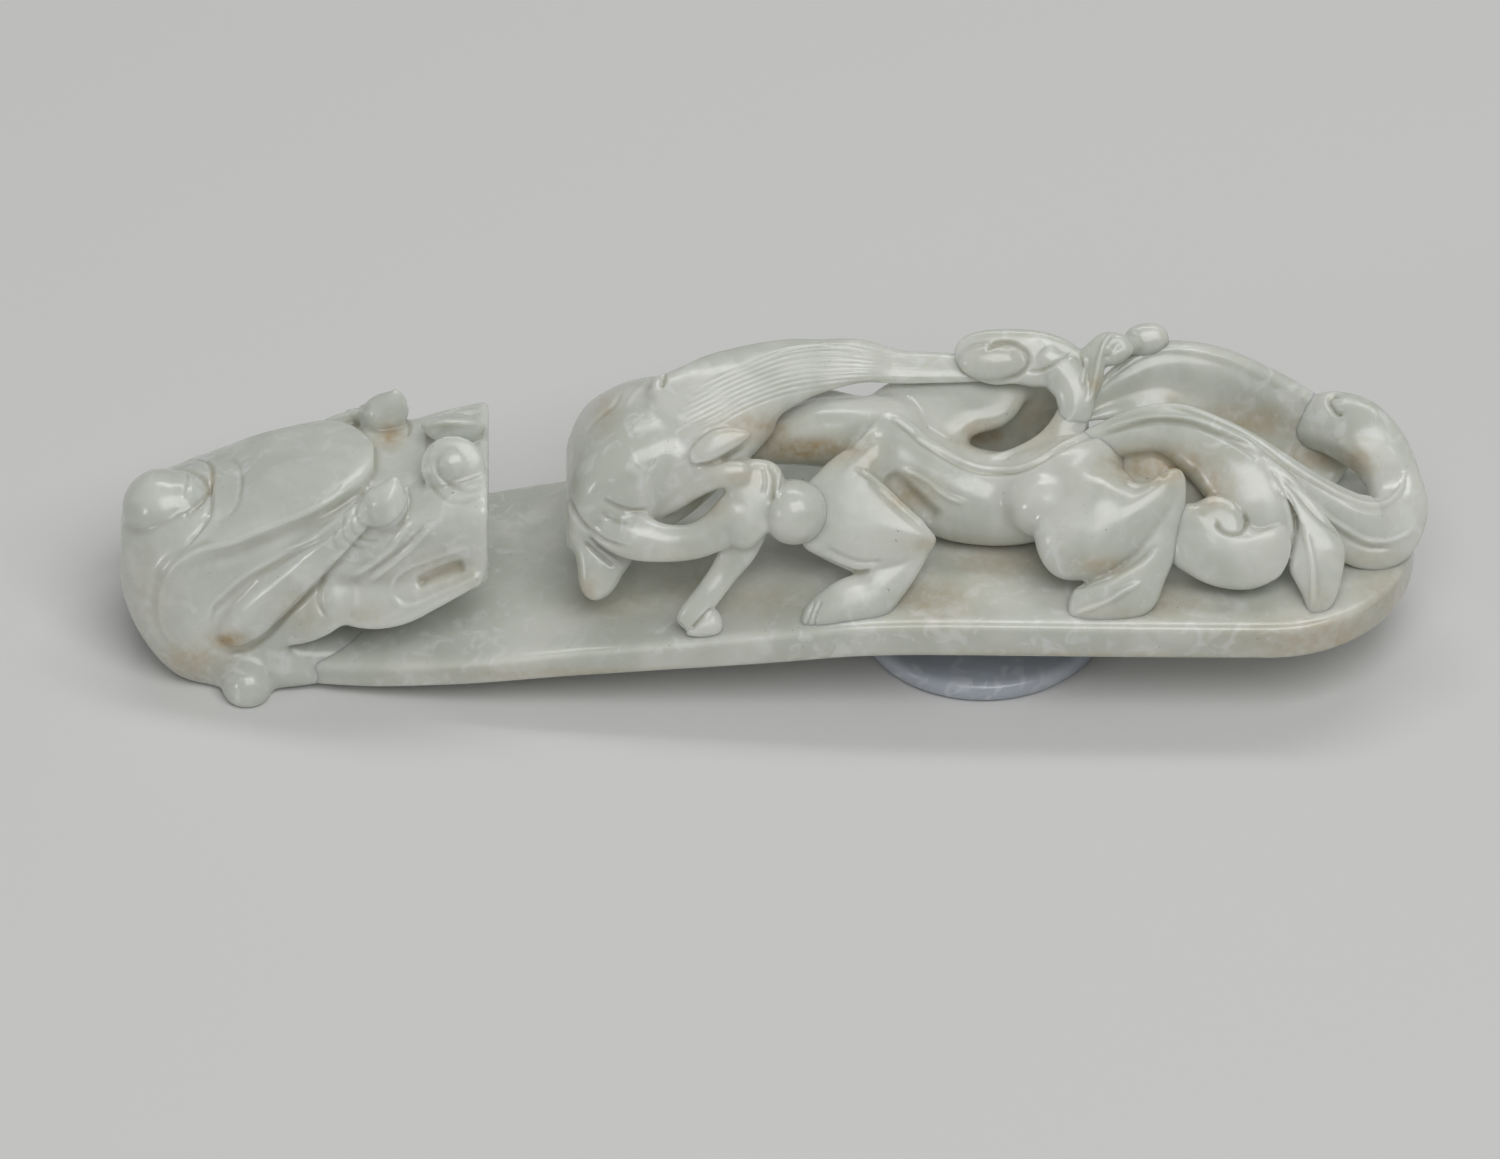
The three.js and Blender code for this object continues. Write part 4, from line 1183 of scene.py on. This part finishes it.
POCKET_OUTLINE = [
    (1118, 478), (1122, 460), (1140, 444), (1170, 440), (1205, 452), (1228, 480), (1232, 508),
    (1200, 520), (1160, 516), (1130, 500),
]
POCKET_SEAT = dict(centre=(1172, 480), depth=-0.6, front=1, back=1.6)
LEAF_OUTLINE = [
    (1262, 456), (1274, 474), (1284, 490), (1292, 506), (1296, 524), (1293, 545), (1288, 568),
    (1294, 582), (1301, 595), (1306, 612), (1311, 627), (1321, 622), (1330, 609), (1338, 590),
    (1343, 566), (1344, 546), (1334, 528), (1318, 510), (1300, 490), (1284, 470),
]
LEAF_SEAT = dict(centre=(1314, 552), depth=-7.6, front=1.3, back=1.6, roundness=2.2)
BAND_RIDGE = [
    (1095, 433), (1116, 425), (1147, 417), (1165, 416), (1186, 418), (1207, 424), (1228, 433),
    (1247, 442), (1264, 456),
]
BAND_GROOVE = [
    (1095, 439), (1116, 431), (1147, 423), (1165, 422), (1186, 424), (1205, 430), (1226, 439),
    (1244, 449), (1260, 462),
]
LOOP_RIDGE = [
    (1150, 404), (1176, 406), (1200, 413), (1221, 422), (1242, 432), (1264, 446), (1280, 458),
    (1300, 472), (1320, 484), (1340, 495), (1357, 502), (1371, 505), (1383, 504), (1394, 497),
    (1401, 487), (1403, 474),
]
LOOP_INNER_RIDGE = [
    (1278, 469), (1295, 483), (1311, 502), (1327, 517), (1340, 526), (1354, 534), (1367, 540),
    (1381, 541), (1394, 539), (1407, 533), (1416, 521),
]
LOOP_GROOVE = [
    (1274, 471), (1290, 487), (1306, 506), (1322, 522), (1337, 532), (1352, 541), (1366, 547),
    (1381, 548), (1396, 546),
]
# The edges of the band and the strand, the leaf's groove, the scroll's spiral and rim, the fork's and the
# leaf's ridges, and the curl on the far lobe
TAIL_STROKES = [
    (BAND_RIDGE, 3.5, 0.22),
    (BAND_GROOVE, 4.5, -0.2),
    (LOOP_RIDGE, 4, 0.28),
    (LOOP_INNER_RIDGE, 4, 0.22),
    (LOOP_GROOVE, 5, -0.25),
    ([(1268, 466), (1280, 484), (1289, 500), (1294, 516), (1296, 534)], 4, -0.15),
    ([(1242, 512), (1246, 522), (1241, 532), (1230, 535), (1219, 530), (1214, 521)], 3.5, -0.3),
    ([(1202, 502), (1214, 499), (1226, 502), (1236, 510)], 3, 0.25),
    ([(1272, 481), (1282, 497), (1288, 516), (1290, 534), (1288, 553), (1281, 570), (1268, 584)], 4, 0.2),
    ([(1303, 530), (1309, 550), (1312, 575), (1312, 605)], 5, 0.25),
    ([(1344, 412), (1338, 414), (1332, 408), (1329, 401), (1333, 396), (1341, 396)], 3.5, -0.4),
]
# Painted shade in the cave under the band and the recess under the strand, with brown on the loop's wall
TAIL_STAINS_AND_SHADE = [
    (1355, 462, 20, 18, 0.6), (1160, 466, 50, 18, 0.95), (1208, 486, 24, 22, 0.6),
    (1318, 600, 14, 14, 0.3), (1370, 556, 30, 8, 0.3),
]
TAIL_NODES = [
    "tail_band", "tail_curl", "leaf_tuft", "tail_near_strand", "tail_far_strand", "far_tail_lobe",
]
TAIL_GRAIN = 0.15
TAIL_EASING = (20, 5)

tail_mesh = layered("dividing_tail", TAIL_GRAIN, TAIL_EASING, [
    seen_limb(BAND_ROWS, flatness=0.55, squareness=2.3, along=160),
    seen_limb(LOOP_ROWS, flatness=0.6, facet=0.35, crest=-0.6, along=180),
    cut_form(POCKET_OUTLINE, **POCKET_SEAT),
    seen_limb(FORK_ROWS, flatness=0.5),
], [
    cut_form(DISC_OUTLINE, **DISC_SEAT),
    cut_form(LEAF_OUTLINE, **LEAF_SEAT),
])
carve(tail_mesh, TAIL_STROKES)
piece("dividing_tail", tail_mesh, celadon, TAIL_NODES, TAIL_STAINS_AND_SHADE)

PLUME_ROWS = [
    [1080, 416, 4.6, 8], [1104, 402, 6, 20], [1132, 391, 7.6, 33], [1165, 383, 8.7, 42],
    [1205, 390, 9.1, 46], [1245, 408, 9.1, 48], [1280, 428, 8.8, 49], [1312, 448, 8.2, 46],
    [1338, 466, 7.4, 36],
]
# A ridge near the plume's edge and a broad hollow along its middle
PLUME_LINES = [(-0.84, 0.16, 0.25), (0.1, 0.6, -0.4)]
PLUME_STAINS = [(1240, 425, 60, 20, 0.6), (1310, 460, 40, 18, 0.6), (1175, 398, 20, 8, 0.3)]
PLUME_GRAIN = 0.2
PLUME_EASING = (3,)

plume_mesh = layered("far_plume", PLUME_GRAIN, PLUME_EASING, [
    seen_limb(PLUME_ROWS, flatness=0.3, squareness=2.6, lines=PLUME_LINES),
])
piece("far_plume", plume_mesh, celadon, ["far_branch"], PLUME_STAINS)

# The cloud curls
# Over the back a flat scroll, its stem and a little sprig with a knob curl up like drifting cloud. They are
# the thinnest of the openwork, drilled free of the mane and the plume, and stand on the back by the stem.
SCROLL_OUTLINE = [
    (954, 350), (962, 338), (981, 331), (1010, 329), (1039, 331), (1060, 337), (1076, 346), (1085, 357),
    (1080, 374), (1058, 386), (1032, 387), (1014, 384), (993, 385), (970, 377), (957, 364),
]
SCROLL_SEAT = dict(centre=(1018, 358), depth=7.3, front=0.9, back=1.2)
SCROLL_CUSHION = (991, 362, 6.7, 33, 19, 13)
STEM_ROWS = [
    [1046, 357, 7, 14], [1062, 372, 6.4, 22], [1074, 392, 5, 20], [1074, 412, 3.7, 18],
    [1066, 424, 2.8, 13],
]
SPRIG_OUTLINE = [
    (1080, 352), (1087, 344), (1096, 336), (1106, 332), (1117, 333), (1128, 338), (1134, 350),
    (1124, 361), (1114, 366), (1105, 368), (1103, 382), (1095, 400), (1084, 414), (1076, 408),
    (1081, 386), (1084, 368),
]
SPRIG_SEAT = dict(centre=(1104, 356), depth=7.2, front=0.9, back=1.3, roundness=2)
KNOB_OUTLINE = [
    (1123, 344), (1127, 331), (1136, 325), (1147, 323), (1158, 324), (1166, 330), (1169, 341),
    (1160, 352), (1141, 358), (1126, 354),
]
KNOB_SEAT = dict(centre=(1147, 340), depth=10.8, front=1.2, back=1.6, roundness=2.6)
KNOB_NECK_ROWS = [[1108, 350, 7.4, 9], [1120, 347, 8.6, 10], [1134, 344, 10, 10], [1146, 342, 10.8, 9]]
SCROLL_SPIRAL = [
    (984, 352), (992, 346), (1003, 343), (1012, 344), (1020, 348), (1026, 354), (1028, 361), (1025, 369),
    (1014, 378), (1000, 382),
]
# The scroll's spiral, the sprig's ridge and hollow, and the stem's ridge and groove
CLOUD_STROKES = [
    (SCROLL_SPIRAL, 4, -0.3),
    ([(1087, 406), (1093, 388), (1097, 370), (1100, 356), (1105, 342), (1113, 333)], 3.5, 0.3),
    ([(1106, 360), (1112, 350), (1122, 342)], 6, -0.12),
    ([(1083, 356), (1086, 364), (1083, 374), (1081, 387)], 3.5, 0.25),
    ([(1026, 372), (1042, 370), (1058, 362), (1072, 354)], 3.5, -0.2),
]
CLOUD_STAINS = [(1098, 384, 10, 10, 0.5), (1004, 350, 30, 14, 0.15)]
CLOUD_NODES = ["cloud_scroll", "cloud_stem", "cloud_sprig", "cloud_knob"]
CLOUD_GRAIN = 0.15
CLOUD_EASING = (5,)

cloud_mesh = layered("cloud_curls", CLOUD_GRAIN, CLOUD_EASING, [
    cut_form(SCROLL_OUTLINE, **SCROLL_SEAT),
    seen_egg(*SCROLL_CUSHION),
    seen_limb(STEM_ROWS, flatness=0.6, facet=0.2),
    cut_form(SPRIG_OUTLINE, **SPRIG_SEAT),
    cut_form(KNOB_OUTLINE, **KNOB_SEAT),
    seen_limb(KNOB_NECK_ROWS),
])
carve(cloud_mesh, CLOUD_STROKES)
piece("cloud_curls", cloud_mesh, celadon, CLOUD_NODES, CLOUD_STAINS)
